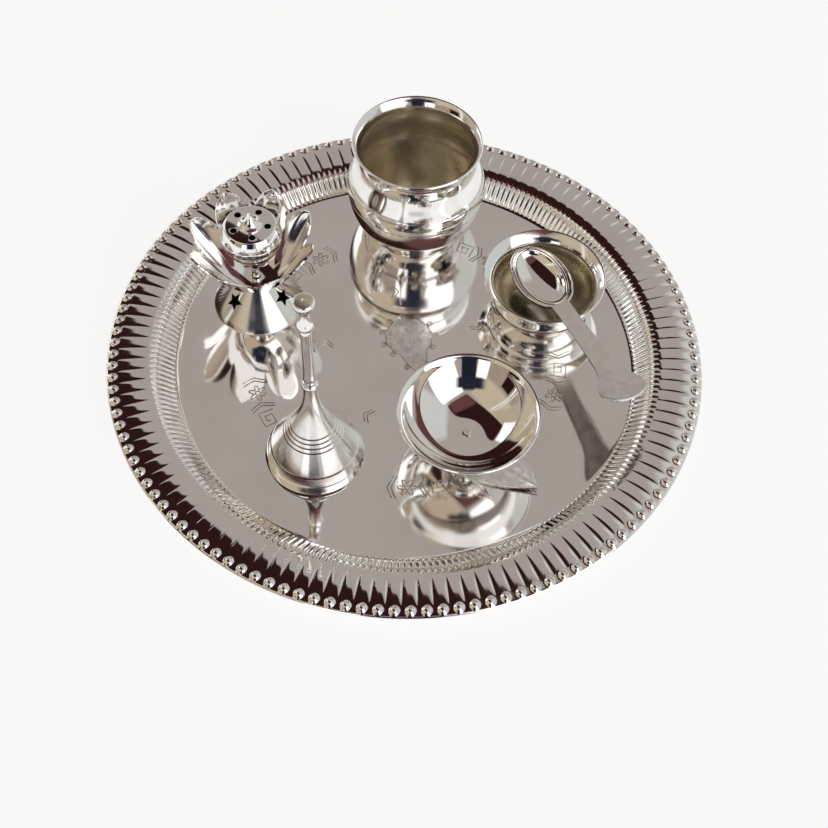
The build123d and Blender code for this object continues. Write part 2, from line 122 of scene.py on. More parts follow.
RECIPES: dict[Finish, MetalRecipe] = {
    Finish.POLISHED: MetalRecipe(
        bright=(0.94, 0.93, 0.91), dull=(0.89, 0.87, 0.84), smooth=0.07, rough=0.12, patch=18.0, grain=0.9,
        grain_depth=0.0008, wave=14.0, wave_depth=0.018, ring_pitch=0.60, ring_depth=0.0014, streak=0.7),
    Finish.MIRROR: MetalRecipe(
        bright=(0.94, 0.92, 0.89), dull=(0.89, 0.87, 0.83), smooth=0.025, rough=0.06, patch=26.0, grain=1.2,
        grain_depth=0.0005, wave=20.0, wave_depth=0.008),
    Finish.PRESSED: MetalRecipe(
        bright=(0.93, 0.91, 0.89), dull=(0.89, 0.86, 0.83), smooth=0.05, rough=0.10, patch=45.0, grain=0.8,
        grain_depth=0.0008, wave=30.0, wave_depth=0.020),
    Finish.TURNED: MetalRecipe(
        bright=(0.94, 0.93, 0.91), dull=(0.88, 0.86, 0.83), smooth=0.11, rough=0.18, patch=14.0, grain=0.8,
        grain_depth=0.0010, wave=14.0, wave_depth=0.010, ring_pitch=0.42, ring_depth=0.0024, streak=0.85),
    Finish.TARNISHED: MetalRecipe(
        bright=(0.82, 0.76, 0.62), dull=(0.66, 0.58, 0.44), smooth=0.16, rough=0.26, patch=16.0, grain=1.0,
        grain_depth=0.003, wave=12.0, wave_depth=0.02, ring_pitch=0.60, ring_depth=0.004, streak=0.8,
        metal=0.8),
    # Painted shade: dark colours that stand in for the shade inside hollow, hidden parts.
    Finish.SOOTY: MetalRecipe(
        bright=(0.20, 0.17, 0.14), dull=(0.08, 0.06, 0.05), smooth=0.40, rough=0.62, patch=7.0, grain=0.8,
        grain_depth=0.012),
    Finish.STIPPLED: MetalRecipe(
        bright=(0.92, 0.90, 0.88), dull=(0.80, 0.78, 0.75), smooth=0.14, rough=0.28, patch=3.0, grain=0.75,
        grain_depth=0.045),
    Finish.WORN: MetalRecipe(
        bright=(0.92, 0.90, 0.88), dull=(0.84, 0.82, 0.79), smooth=0.15, rough=0.25, patch=7.0, grain=0.7,
        grain_depth=0.002, wave=12.0, wave_depth=0.012, metal=0.85),
    Finish.CHASED: MetalRecipe(
        bright=(0.60, 0.56, 0.52), dull=(0.36, 0.32, 0.29), smooth=0.14, rough=0.30, patch=5.0, grain=0.7,
        grain_depth=0.004),
    Finish.PALE_BRASS: MetalRecipe(
        bright=(0.88, 0.85, 0.74), dull=(0.80, 0.75, 0.61), smooth=0.26, rough=0.40, patch=3.0, grain=0.5,
        grain_depth=0.004, wave=6.0, wave_depth=0.01, ring_pitch=0.35, ring_depth=0.004),
    Finish.STEEL: MetalRecipe(
        bright=(0.58, 0.57, 0.55), dull=(0.40, 0.38, 0.36), smooth=0.28, rough=0.45, patch=4.0, grain=0.5,
        grain_depth=0.006),
}


class NodeBench:
    """Short calls for adding and joining shader nodes."""

    def __init__(self, tree: bpy.types.NodeTree) -> None:
        """Clear a node tree and keep it."""
        self.tree = tree
        tree.nodes.clear()

    def add(self, kind: str, **settings: object) -> bpy.types.Node:
        """Add a node.

        Args:
            kind: Node type without its common prefix.
            **settings: Properties of the node.

        Returns:
            The new node.
        """
        node = self.tree.nodes.new("ShaderNode" + kind)
        for key, value in settings.items():
            setattr(node, key, value)
        return node

    def join(self, source: bpy.types.NodeSocket, target: bpy.types.NodeSocket) -> None:
        """Join an output socket to an input socket."""
        self.tree.links.new(source, target)

    def math(self, operation: str, *values: object) -> bpy.types.NodeSocket:
        """Add a Math node.

        Args:
            operation: Name of the operation.
            *values: Numbers, or sockets to join.

        Returns:
            The node's output.
        """
        node = self.add("Math", operation=operation)
        for socket, value in zip(node.inputs, values):
            if isinstance(value, (int, float)):
                socket.default_value = value
            else:
                self.join(value, socket)
        return node.outputs[0]

    def noise(self, vector: bpy.types.NodeSocket, scale: float, detail: float = 2.0) -> bpy.types.NodeSocket:
        """Add a Noise Texture and give its factor."""
        node = self.add("TexNoise")
        node.inputs["Scale"].default_value = scale
        node.inputs["Detail"].default_value = detail
        self.join(vector, node.inputs["Vector"])
        return node.outputs["Fac"]

    def span(
        self, value: bpy.types.NodeSocket, ends: tuple[float, float, float, float]
    ) -> bpy.types.NodeSocket:
        """Map a value from one range to another, smoothly and clamped.

        Args:
            value: Socket to map.
            ends: Source low and high, then target low and high.

        Returns:
            The mapped socket.
        """
        node = self.add("MapRange", interpolation_type="SMOOTHSTEP")
        self.join(value, node.inputs["Value"])
        for socket, number in zip(("From Min", "From Max", "To Min", "To Max"), ends):
            node.inputs[socket].default_value = number
        return node.outputs[0]

    def blend(self, factor: bpy.types.NodeSocket, first: object, second: object) -> bpy.types.NodeSocket:
        """Mix two colours, each a colour or a socket, by a factor."""
        node = self.add("Mix", data_type="RGBA")
        self.join(factor, node.inputs["Factor"])
        colors = [socket for socket in node.inputs if socket.type == "RGBA"]
        for socket, value in zip(colors, (first, second)):
            if isinstance(value, tuple):
                socket.default_value = (*value, 1.0)
            else:
                self.join(value, socket)
        return [socket for socket in node.outputs if socket.type == "RGBA"][0]

    def bump(
        self, height: bpy.types.NodeSocket, depth: float, below: bpy.types.NodeSocket | None
    ) -> bpy.types.NodeSocket:
        """Add a bump of a depth in millimetres over the bump below it."""
        node = self.add("Bump")
        node.inputs["Strength"].default_value = 1.0
        node.inputs["Distance"].default_value = depth * MM
        self.join(height, node.inputs["Height"])
        if below is not None:
            self.join(below, node.inputs["Normal"])
        return node.outputs["Normal"]


class FinishShelf:
    """Mixes each finish once for each axis that it is turned on."""

    def __init__(self) -> None:
        """Start with an empty shelf."""
        self._made: dict[str, bpy.types.Material] = {}

    def get(self, finish: Finish, axis: Point = (0.0, 0.0)) -> bpy.types.Material:
        """Give the material of a finish.

        Args:
            finish: The finish.
            axis: Place of the upright axis of the piece, in millimetres.

        Returns:
            The material.
        """
        name = f"{finish.value}_{axis[0]:.0f}_{axis[1]:.0f}"
        if name not in self._made:
            self._made[name] = self._mix(name, RECIPES[finish], axis)
        return self._made[name]

    @staticmethod
    def _mix(name: str, recipe: MetalRecipe, axis: Point) -> bpy.types.Material:
        """Build the node tree of one metal finish."""
        material = bpy.data.materials.new(name)
        material.use_nodes = True
        bench = NodeBench(material.node_tree)
        output = bench.add("OutputMaterial")
        shader = bench.add("BsdfPrincipled")
        bench.join(shader.outputs[0], output.inputs["Surface"])
        shader.inputs["Metallic"].default_value = recipe.metal
        coords = bench.add("TexCoord")
        mapping = bench.add("Mapping")
        mapping.inputs["Location"].default_value = (-axis[0] * MM, -axis[1] * MM, 0.0)
        bench.join(coords.outputs["Object"], mapping.inputs["Vector"])
        place = mapping.outputs[0]
        cloud = bench.span(bench.noise(place, 1.0 / (recipe.patch * MM), 4.0), (0.34, 0.68, 0.0, 1.0))
        bench.join(bench.blend(cloud, recipe.bright, recipe.dull), shader.inputs["Base Color"])
        gloss = bench.span(cloud, (0.0, 1.0, recipe.smooth, recipe.rough))
        bench.join(gloss, shader.inputs["Roughness"])
        normal = bench.bump(bench.noise(place, 1.0 / (recipe.grain * MM), 3.0), recipe.grain_depth, None)
        if recipe.wave_depth:
            normal = bench.bump(bench.noise(place, 1.0 / (recipe.wave * MM), 1.0), recipe.wave_depth, normal)
        if recipe.ring_pitch:
            parts = bench.add("SeparateXYZ")
            bench.join(place, parts.inputs[0])
            across = bench.math("MULTIPLY", parts.outputs["X"], parts.outputs["X"])
            along = bench.math("MULTIPLY", parts.outputs["Y"], parts.outputs["Y"])
            radius = bench.math("SQRT", bench.math("ADD", across, along))
            rings = bench.add("CombineXYZ")
            bench.join(radius, rings.inputs["X"])
            bench.join(parts.outputs["Z"], rings.inputs["Y"])
            lines = bench.noise(rings.outputs[0], 1.0 / (recipe.ring_pitch * MM), 2.0)
            normal = bench.bump(lines, recipe.ring_depth, normal)
        bench.join(normal, shader.inputs["Normal"])
        if recipe.streak:
            tangent = bench.add("Tangent", direction_type="RADIAL", axis="Z")
            bench.join(tangent.outputs[0], shader.inputs["Tangent"])
            shader.inputs["Anisotropic"].default_value = recipe.streak
            shader.inputs["Anisotropic Rotation"].default_value = 0.25
        return material


def polar(centre: Point, reach: float, turn: float) -> Point:
    """Point at a distance from a centre, in a direction given in radians."""
    return (centre[0] + reach * math.cos(turn), centre[1] + reach * math.sin(turn))


def hermite(start: Point, end: Point, leave: float, arrive: float, steps: int) -> list[Point]:
    """Points of a smooth run between two points.

    Args:
        start: First point, which isn't repeated.
        end: Last point.
        leave: Heading at the first point, in degrees.
        arrive: Heading at the last point, in degrees.
        steps: Number of points.

    Returns:
        The points after the first.
    """
    reach = math.dist(start, end)
    slopes = [polar((0.0, 0.0), reach, math.radians(heading)) for heading in (leave, arrive)]
    run = []
    for index in range(1, steps + 1):
        t = index / steps
        weights = (2 * t**3 - 3 * t**2 + 1, t**3 - 2 * t**2 + t, -2 * t**3 + 3 * t**2, t**3 - t**2)
        knots = (start, slopes[0], end, slopes[1])
        run.append(tuple(sum(weight * knot[k] for weight, knot in zip(weights, knots)) for k in (0, 1)))
    return run


def smooth_run(nodes: list[Station], steps: int) -> list[Point]:
    """Points through (radius, height, heading) nodes, with some steps between each pair."""
    run: list[Point] = [(nodes[0][0], nodes[0][1])]
    for before, after in zip(nodes, nodes[1:]):
        run += hermite((before[0], before[1]), (after[0], after[1]), before[2], after[2], steps)
    return run


def normal_at(run: list[Point], index: int) -> Point:
    """Unit normal on the left of a run at one of its points."""
    before = run[max(index - 1, 0)]
    after = run[min(index + 1, len(run) - 1)]
    length = math.dist(before, after) or 1.0
    return (-(after[1] - before[1]) / length, (after[0] - before[0]) / length)


def offset_run(run: list[Point], wall: float) -> list[Point]:
    """A run moved to its left by a wall."""
    moved = []
    for index, (radius, height) in enumerate(run):
        normal = normal_at(run, index)
        moved.append((radius + wall * normal[0], height + wall * normal[1]))
    return moved


def rim_arc(outer: Point, inner: Point, steps: int = 4) -> list[Point]:
    """Half-round rim from the outer to the inner end of a wall, without its end points."""
    middle = ((outer[0] + inner[0]) / 2, (outer[1] + inner[1]) / 2)
    half = ((outer[0] - inner[0]) / 2, (outer[1] - inner[1]) / 2)
    ahead = (-half[1], half[0])
    arc = []
    for index in range(1, steps):
        turn = math.pi * index / steps
        arc.append(tuple(
            middle[k] + math.cos(turn) * half[k] + 0.7 * math.sin(turn) * ahead[k] for k in (0, 1)))
    return arc


def grooved(run: list[Point], heights: list[float], width: float, depth: float) -> list[Point]:
    """A rising run with round-bottomed grooves cut into its outer side.

    Args:
        run: Points with rising heights.
        heights: Middle of each groove.
        width: Width of a groove.
        depth: Depth of a groove, negative for a raised bead.

    Returns:
        The run with the grooves' points in it.
    """
    result = list(run)
    for height in heights:
        place = next(i for i in range(len(result) - 1) if result[i + 1][1] > height)
        first, second = result[place], result[place + 1]
        share = (height - first[1]) / (second[1] - first[1])
        middle = tuple(first[k] + share * (second[k] - first[k]) for k in (0, 1))
        length = math.dist(first, second)
        along = ((second[0] - first[0]) / length, (second[1] - first[1]) / length)
        inward = (-along[1], along[0])
        cut = []
        for step, sink in ((-0.5, 0.0), (-0.3, 0.55), (-0.1, 0.95), (0.1, 0.95), (0.3, 0.55), (0.5, 0.0)):
            cut.append(tuple(
                middle[k] + step * width * along[k] + sink * depth * inward[k] for k in (0, 1)))
        keep_before = [p for p in result[: place + 1] if math.dist(p, middle) > 0.55 * width]
        keep_after = [p for p in result[place + 1:] if math.dist(p, middle) > 0.55 * width]
        result = keep_before + cut + keep_after
    return result


@dataclass
class Outline:
    """Outline of a turned piece: its points, and the finish of the run that leads to each.

    Attributes:
        points: Radius and height of each point.
        finishes: Finish of the run that ends at each point.
    """

    points: list[Point]
    finishes: list[Finish]

    @classmethod
    def of(cls, run: list[Point], finish: Finish) -> "Outline":
        """Start an outline with a run of points in one finish."""
        return cls(list(run), [finish] * len(run))

    def add(self, run: list[Point], finish: Finish) -> "Outline":
        """Add a run of points in one finish.

        Args:
            run: Points to add.
            finish: Finish of the run.

        Returns:
            This outline.
        """
        self.points += run
        self.finishes += [finish] * len(run)
        return self

    def close(self, finish: Finish) -> "Outline":
        """Lead the outline back to its first point."""
        return self.add([self.points[0]], finish)


def deselect() -> None:
    """Leave edit mode and deselect everything."""
    if bpy.context.object is not None and bpy.context.object.mode != "OBJECT":
        bpy.ops.object.mode_set(mode="OBJECT")
    bpy.ops.object.select_all(action="DESELECT")


def activate(piece: bpy.types.Object) -> None:
    """Select one object alone and make it active."""
    deselect()
    piece.select_set(True)
    bpy.context.view_layer.objects.active = piece


def edit_all(piece: bpy.types.Object) -> None:
    """Open one object in edit mode with everything selected."""
    activate(piece)
    bpy.ops.object.mode_set(mode="EDIT")
    bpy.ops.mesh.select_all(action="SELECT")


def drawn_chain(name: str, points: list[Vector]) -> bpy.types.Object:
    """Draw a chain of edges by extruding one vertex from point to point.

    Args:
        name: Name of the new object.
        points: Points in metres.

    Returns:
        The object, left in edit mode with everything selected.
    """
    deselect()
    bpy.ops.mesh.primitive_plane_add(size=MM)
    piece = bpy.context.object
    piece.name = name
    edit_all(piece)
    bpy.ops.mesh.merge(type="CENTER")
    bpy.ops.transform.translate(value=points[0])
    for before, after in zip(points, points[1:]):
        bpy.ops.mesh.extrude_vertices_move(TRANSFORM_OT_translate={"value": after - before})
    bpy.ops.mesh.select_all(action="SELECT")
    return piece


def shade(piece: bpy.types.Object, angle: float = SMOOTH_ANGLE) -> None:
    """Shade a piece smooth up to an angle in degrees."""
    activate(piece)
    bpy.ops.object.shade_smooth_by_angle(angle=math.radians(angle))


def tidy_mesh(piece: bpy.types.Object) -> None:
    """Merge doubles, turn the faces outwards and shade smooth."""
    edit_all(piece)
    bpy.ops.mesh.remove_doubles(threshold=0.002 * MM)
    bpy.ops.mesh.normals_make_consistent(inside=False)
    bpy.ops.object.mode_set(mode="OBJECT")
    shade(piece)


def strip(name: str, stations: list[Station], columns: int) -> bpy.types.Object:
    """Extrude a row of edges from station to station into a strip of sheet along X.

    Args:
        name: Name of the new object.
        stations: Distance along the strip, half width and lift, in millimetres.
        columns: Number of edges across the strip.

    Returns:
        The strip, without thickness.
    """
    along, half, lift = stations[0]
    across = [half * (2 * step / columns - 1) for step in range(columns + 1)]
    piece = drawn_chain(name, [Vector((along, aside, lift)) * MM for aside in across])
    for before, after in zip(stations, stations[1:]):
        step = Vector((after[0] - before[0], 0.0, after[2] - before[2])) * MM
        bpy.ops.mesh.extrude_edges_move(TRANSFORM_OT_translate={"value": step})
        bpy.ops.transform.resize(
            value=(1.0, after[1] / before[1], 1.0), center_override=Vector((after[0], 0.0, after[2])) * MM)
    bpy.ops.object.mode_set(mode="OBJECT")
    return piece


def thicken(piece: bpy.types.Object, sheet: float) -> None:
    """Clean a sheet and give it a thickness in millimetres."""
    tidy_mesh(piece)
    solid = piece.modifiers.new("sheet", "SOLIDIFY")
    solid.thickness = sheet * MM
    solid.offset = 1.0
    bpy.ops.object.modifier_apply(modifier=solid.name)


def finish_strip(piece: bpy.types.Object, sheet: float, edge: float) -> None:
    """Thicken a strip, round its edges and set it down on height zero.

    Args:
        piece: The strip.
        sheet: Its thickness in millimetres.
        edge: Width of its rounded edges in millimetres.
    """
    thicken(piece, sheet)
    edges = piece.modifiers.new("edges", "BEVEL")
    edges.width = edge * MM
    edges.segments = 2
    edges.angle_limit = math.radians(BEVEL_ANGLE)
    bpy.ops.object.modifier_apply(modifier=edges.name)
    lowest = min(vertex.co.z for vertex in piece.data.vertices)
    for vertex in piece.data.vertices:
        vertex.co.z -= lowest


def prism(vertices: int, radius: float, low: float, high: float, inner: float = 1.0) -> bpy.types.Object:
    """Upright closed cutter with a round or a star-shaped section.

    Args:
        vertices: Number of corners.
        radius: Distance of the corners from the axis, in millimetres.
        low: Height of its lower end.
        high: Height of its upper end.
        inner: Distance of every second corner, as a share of the radius.

    Returns:
        The cutter.
    """
    deselect()
    bpy.ops.mesh.primitive_circle_add(vertices=vertices, radius=radius * MM, fill_type="NGON")
    piece = bpy.context.object
    piece.data.transform(Matrix.Translation((0.0, 0.0, low * MM)))
    if inner < 1.0:
        bpy.ops.object.mode_set(mode="EDIT")
        bpy.ops.mesh.select_all(action="DESELECT")
        bpy.ops.object.mode_set(mode="OBJECT")
        for index, vertex in enumerate(piece.data.vertices):
            vertex.select = index % 2 == 1
        bpy.ops.object.mode_set(mode="EDIT")
        bpy.ops.transform.resize(value=(inner, inner, 1.0), center_override=(0.0, 0.0, 0.0))
    bpy.ops.object.mode_set(mode="EDIT")
    bpy.ops.mesh.select_all(action="SELECT")
    bpy.ops.mesh.extrude_region_move(TRANSFORM_OT_translate={"value": (0.0, 0.0, (high - low) * MM)})
    bpy.ops.mesh.select_all(action="SELECT")
    bpy.ops.mesh.normals_make_consistent(inside=False)
    bpy.ops.object.mode_set(mode="OBJECT")
    return piece


def spun(name: str, outline: Outline, axis: Point, base: float, steps: int) -> bpy.types.Object:
    """Spin an outline about an upright axis.

    Args:
        name: Name of the new object.
        outline: Outline with radii and heights in millimetres.
        axis: Place of the axis in millimetres.
        base: Height that the outline's heights count from.
        steps: Number of steps round the axis.

    Returns:
        The closed and smooth object.
    """
    points = [Vector((axis[0] + r, axis[1], base + h)) * MM for r, h in outline.points]
    piece = drawn_chain(name, points)
    centre = Vector((axis[0], axis[1], 0.0)) * MM
    bpy.ops.mesh.spin(steps=steps, angle=FULL_TURN, center=centre, axis=(0.0, 0.0, 1.0))
    tidy_mesh(piece)
    return piece


def paint_runs(
    piece: bpy.types.Object, outline: Outline, axis: Point, base: float, shelf: FinishShelf
) -> None:
    """Give every face of a spun piece the finish of its run.

    Args:
        piece: The spun object.
        outline: Outline that it was spun from.
        axis: Place of its axis in millimetres.
        base: Height that the outline's heights count from.
        shelf: Where the finishes come from.
    """
    used = list(dict.fromkeys(outline.finishes[1:]))
    for finish in used:
        piece.data.materials.append(shelf.get(finish, axis))
    middles = []
    for before, after, finish in zip(outline.points, outline.points[1:], outline.finishes[1:]):
        middles.append(((before[0] + after[0]) / 2, (before[1] + after[1]) / 2, used.index(finish)))
    if len(used) == 1:
        return
    known: dict[tuple[int, int], int] = {}
    for face in piece.data.polygons:
        centre = face.center / MM
        radius = math.hypot(centre.x - axis[0], centre.y - axis[1])
        height = centre.z - base
        key = (round(radius * 50), round(height * 50))
        if key not in known:
            known[key] = min(middles, key=lambda m: (m[0] - radius) ** 2 + (m[1] - height) ** 2)[2]
        face.material_index = known[key]


@dataclass
class Dresser:
    """Puts finished pieces on their bodies and reports them.

    Attributes:
        shelf: Where the finishes come from.
    """

    shelf: FinishShelf

    def wear(
        self, piece: bpy.types.Object, body: str, node: str | None
    ) -> bpy.types.Object:
        """Make a piece ride on a body.

        Args:
            piece: Finished object.
            body: Body that carries it.
            node: Solid that it stands for, if any.

        Returns:
            The piece.
        """
        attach(piece, body)
        if node is not None:
            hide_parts(node)
        LOG.info("%s rides on %s with %d faces", piece.name, body, len(piece.data.polygons))
        return piece

    def shaped(
        self, node: str, outline: Outline, axis: Point, steps: int, base: float = FLOOR_TOP
    ) -> bpy.types.Object:
        """Spin and paint a turned piece.

        Args:
            node: Solid that it stands for.
            outline: Its outline.
            axis: Place of its axis.
            steps: Steps round the axis.
            base: Height that the outline counts from.

        Returns:
            The piece.
        """
        piece = spun(node + "_look", outline, axis, base, steps)
        paint_runs(piece, outline, axis, base, self.shelf)
        return piece

    def turned(
        self, node: str, body: str, outline: Outline, axis: Point, steps: int
    ) -> bpy.types.Object:
        """Spin, paint and place a turned piece that stands for a solid.

        Args:
            node: Solid that it stands for.
            body: Body that carries it.
            outline: Its outline.
            axis: Place of its axis.
            steps: Steps round the axis.

        Returns:
            The piece.
        """
        return self.wear(self.shaped(node, outline, axis, steps), body, node)


def cut_with(piece: bpy.types.Object, cutter: bpy.types.Object) -> None:
    """Cut a closed object out of another and remove the cutter."""
    activate(piece)
    modifier = piece.modifiers.new("cut", "BOOLEAN")
    modifier.operation = "DIFFERENCE"
    modifier.solver = "EXACT"
    modifier.object = cutter
    bpy.ops.object.modifier_apply(modifier=modifier.name)
    activate(cutter)
    bpy.ops.object.delete()


def wire_ring(
    name: str, centre: Vector, ring: float, wire: float, axis: Vector, side: Vector
) -> bpy.types.Object:
    """Spin a small circle into a wire ring.

    Args:
        name: Name of the new object.
        centre: Centre of the ring in millimetres.
        ring: Radius of the ring's middle line.
        wire: Radius of the wire.
        axis: Level axis of the ring.
        side: Level direction from the centre to the first circle.

    Returns:
        The ring.
    """
    deselect()
    bpy.ops.mesh.primitive_circle_add(vertices=14, radius=wire * MM)
    piece = bpy.context.object
    piece.name = name
    edit_all(piece)
    bpy.ops.transform.translate(value=(centre + side * ring) * MM)
    bpy.ops.mesh.spin(steps=40, angle=FULL_TURN, center=centre * MM, axis=axis)
    tidy_mesh(piece)
    return piece


def joined(pieces: list[bpy.types.Object], name: str) -> bpy.types.Object:
    """Join objects into the first one and name it."""
    activate(pieces[0])
    for piece in pieces[1:]:
        piece.select_set(True)
    bpy.ops.object.join()
    pieces[0].name = name
    return pieces[0]


def spun_sectors(name: str, outline: Outline, steps: int, sectors: int) -> bpy.types.Object:
    """Spin one sector of an outline about the tray's axis and copy it round.

    Args:
        name: Name of the new object.
        outline: Outline with radii and heights in millimetres.
        steps: Number of steps in the whole turn.
        sectors: Number of sectors in the whole turn.

    Returns:
        The closed and smooth object.
    """
    first = drawn_chain(name, [Vector((r, 0.0, h)) * MM for r, h in outline.points])
    bpy.ops.mesh.spin(
        steps=steps // sectors, angle=FULL_TURN / sectors, center=(0.0, 0.0, 0.0), axis=(0.0, 0.0, 1.0))
    copies = [first]
    for index in range(1, sectors):
        activate(first)
        bpy.ops.object.duplicate()
        copy = bpy.context.object
        copy.data.transform(Matrix.Rotation(FULL_TURN * index / sectors, 4, "Z"))
        copies.append(copy)
    piece = joined(copies, name)
    tidy_mesh(piece)
    return piece


@dataclass
class Tray:
    """Pressed tray: polished floor, ribbed wall, lobed flange, beads and a rolled lip.

    Attributes:
        radius: Radius of the lip.
        sheet: Thickness of the sheet.
        floor_radius: Radius of the flat floor.
        wall_radius: Radius where the wall meets the flange.
        wall_top: Height of that edge.
        wall_slope: Slope of the wall, in degrees.
        flange_radius: Radius where the flange meets the bead row.
        flange_top: Height of that edge.
        bead_radius: Radius of the bead row.
        bead_width: Width of a bead round the tray.
        bead_length: Length of a bead across the lip.
        bead_height: How far a bead stands up.
        lip_drop: How far the lip's edge turns down.
        flutes: Number of lobes and beads.
        lobe_height: How far a lobe stands above the valleys beside it.
        lobe_power: How flat a lobe is across, as a power.
        lobe_window: Powers of a lobe's rise and fall along the flange.
        rib_height: How far a wall rib stands up.
        columns: Mesh columns in one lobe.
    """

    radius: float = 140.0
    sheet: float = 1.2
    floor_radius: float = 108.4
    wall_radius: float = 117.5
    wall_top: float = 9.0
    wall_slope: float = 38.0
    flange_radius: float = 134.2
    flange_top: float = 10.7
    bead_radius: float = 136.9
    bead_width: float = 4.4
    bead_length: float = 4.6
    bead_height: float = 1.3
    lip_drop: float = 1.4
    flutes: int = 128
    lobe_height: float = 0.38
    lobe_power: float = 4.4
    lobe_window: Point = (1.6, 0.75)
    rib_height: float = 0.55
    columns: int = 14

    def outline(self) -> Outline:
        """Section of the plain sheet, from the middle of the floor round the lip and back below."""
        bend, slope = self.floor_radius - 1.6, self.wall_slope
        floor = [(0.0, self.sheet), (60.0, self.sheet), (bend, self.sheet)]
        wall = hermite((bend, self.sheet), (self.floor_radius + 1.6, self.sheet + 1.1), 0.0, slope, 3)
        wall += hermite(wall[-1], (self.wall_radius - 0.6, self.wall_top - 0.5), slope, slope, 6)
        wall += hermite(wall[-1], (self.wall_radius + 1.2, self.wall_top + 0.45), slope, 28.0, 2)
        shoulder = (self.wall_radius + 3.8, self.wall_top + 1.35)
        flange = hermite(wall[-1], shoulder, 30.0, 6.0, 4)
        flange += hermite(shoulder, (self.flange_radius, self.flange_top), 6.0, -3.0, 9)
        crest = [(self.flange_radius + 0.48 * step, self.flange_top - 0.045 * step) for step in range(1, 11)]
        edge = hermite(crest[-1], (self.radius, self.flange_top - self.lip_drop), -15.0, -80.0, 3)
        below = [
            (self.radius - 0.7, self.flange_top - self.lip_drop - 0.25),
            (self.radius - 1.4, self.flange_top - 1.3),
            (self.flange_radius, self.flange_top - 0.1 - self.sheet),
            (128.5, self.flange_top - 0.1 - self.sheet),
            (self.wall_radius + 1.6, self.wall_top + 0.2 - self.sheet),
            (113.4, 3.9),
            (self.floor_radius + 0.9, 0.35),
            (self.floor_radius - 0.6, 0.0),
            (0.0, 0.0),
        ]
        return Outline.of(floor + wall + flange + crest + edge + below, Finish.PRESSED)

    @staticmethod
    def _unevenness(flute: int) -> float:
        """Small steady difference between one hand-set lobe and the next, from -1 to 1."""
        return math.sin(flute * 12.9898) * 0.6 + math.sin(flute * 4.1414 + 1.3) * 0.4

    def rise(self, radius: float, angle: float) -> float:
        """Height that lobes, ribs and beads add to the sheet.

        Args:
            radius: Distance from the tray's axis.
            angle: Angle round the axis, in radians.

        Returns:
            The added height in millimetres.
        """
        turns = angle / FULL_TURN * self.flutes
        flute = math.floor(turns)
        across = 2 * (turns - flute) - 1
        uneven = self._unevenness(flute % self.flutes)
        added = 0.0
        share = (radius - self.wall_radius - 0.4) / (self.flange_radius + 0.6 - self.wall_radius)
        if 0 < share < 1:
            window = math.sin(math.pi * share ** self.lobe_window[0]) ** self.lobe_window[1]
            crown = 1 - abs(across) ** self.lobe_power
            added += (1 + 0.12 * uneven) * self.lobe_height * window * crown
        share = (radius - self.floor_radius - 0.8) / (self.wall_radius + 1.2 - self.floor_radius)
        if 0 < share < 1:
            rib = abs(math.sin(math.pi * (turns * 2 + 0.5)))
            added += self.rib_height * math.sin(math.pi * share) ** 0.5 * (1 + 0.25 * uneven) * rib
        along = (radius - self.bead_radius) / (self.bead_length / 2)
        aside = across * (FULL_TURN * self.bead_radius / self.flutes / 2) / (self.bead_width / 2)
        reach = along**2 + aside**2
        if reach < 1:
            added += self.bead_height * (1 + 0.08 * uneven) * (1 - reach)
        return added

    def build(self, dresser: Dresser) -> None:
        """Spin the section, press the lobes, ribs and beads into it and dress it."""
        outline = self.outline()
        tray = spun_sectors("thali_tray_look", outline, self.flutes * self.columns, self.flutes // 4)
        for vertex in tray.data.vertices:
            radius = vertex.co.xy.length / MM
            if radius > self.floor_radius:
                vertex.co.z += self.rise(radius, math.atan2(vertex.co.y, vertex.co.x)) * MM
        tray.data.update()
        shade(tray, 60.0)
        paint_runs(tray, outline, (0.0, 0.0), 0.0, dresser.shelf)
        dresser.wear(tray, "tray", "thali_tray")


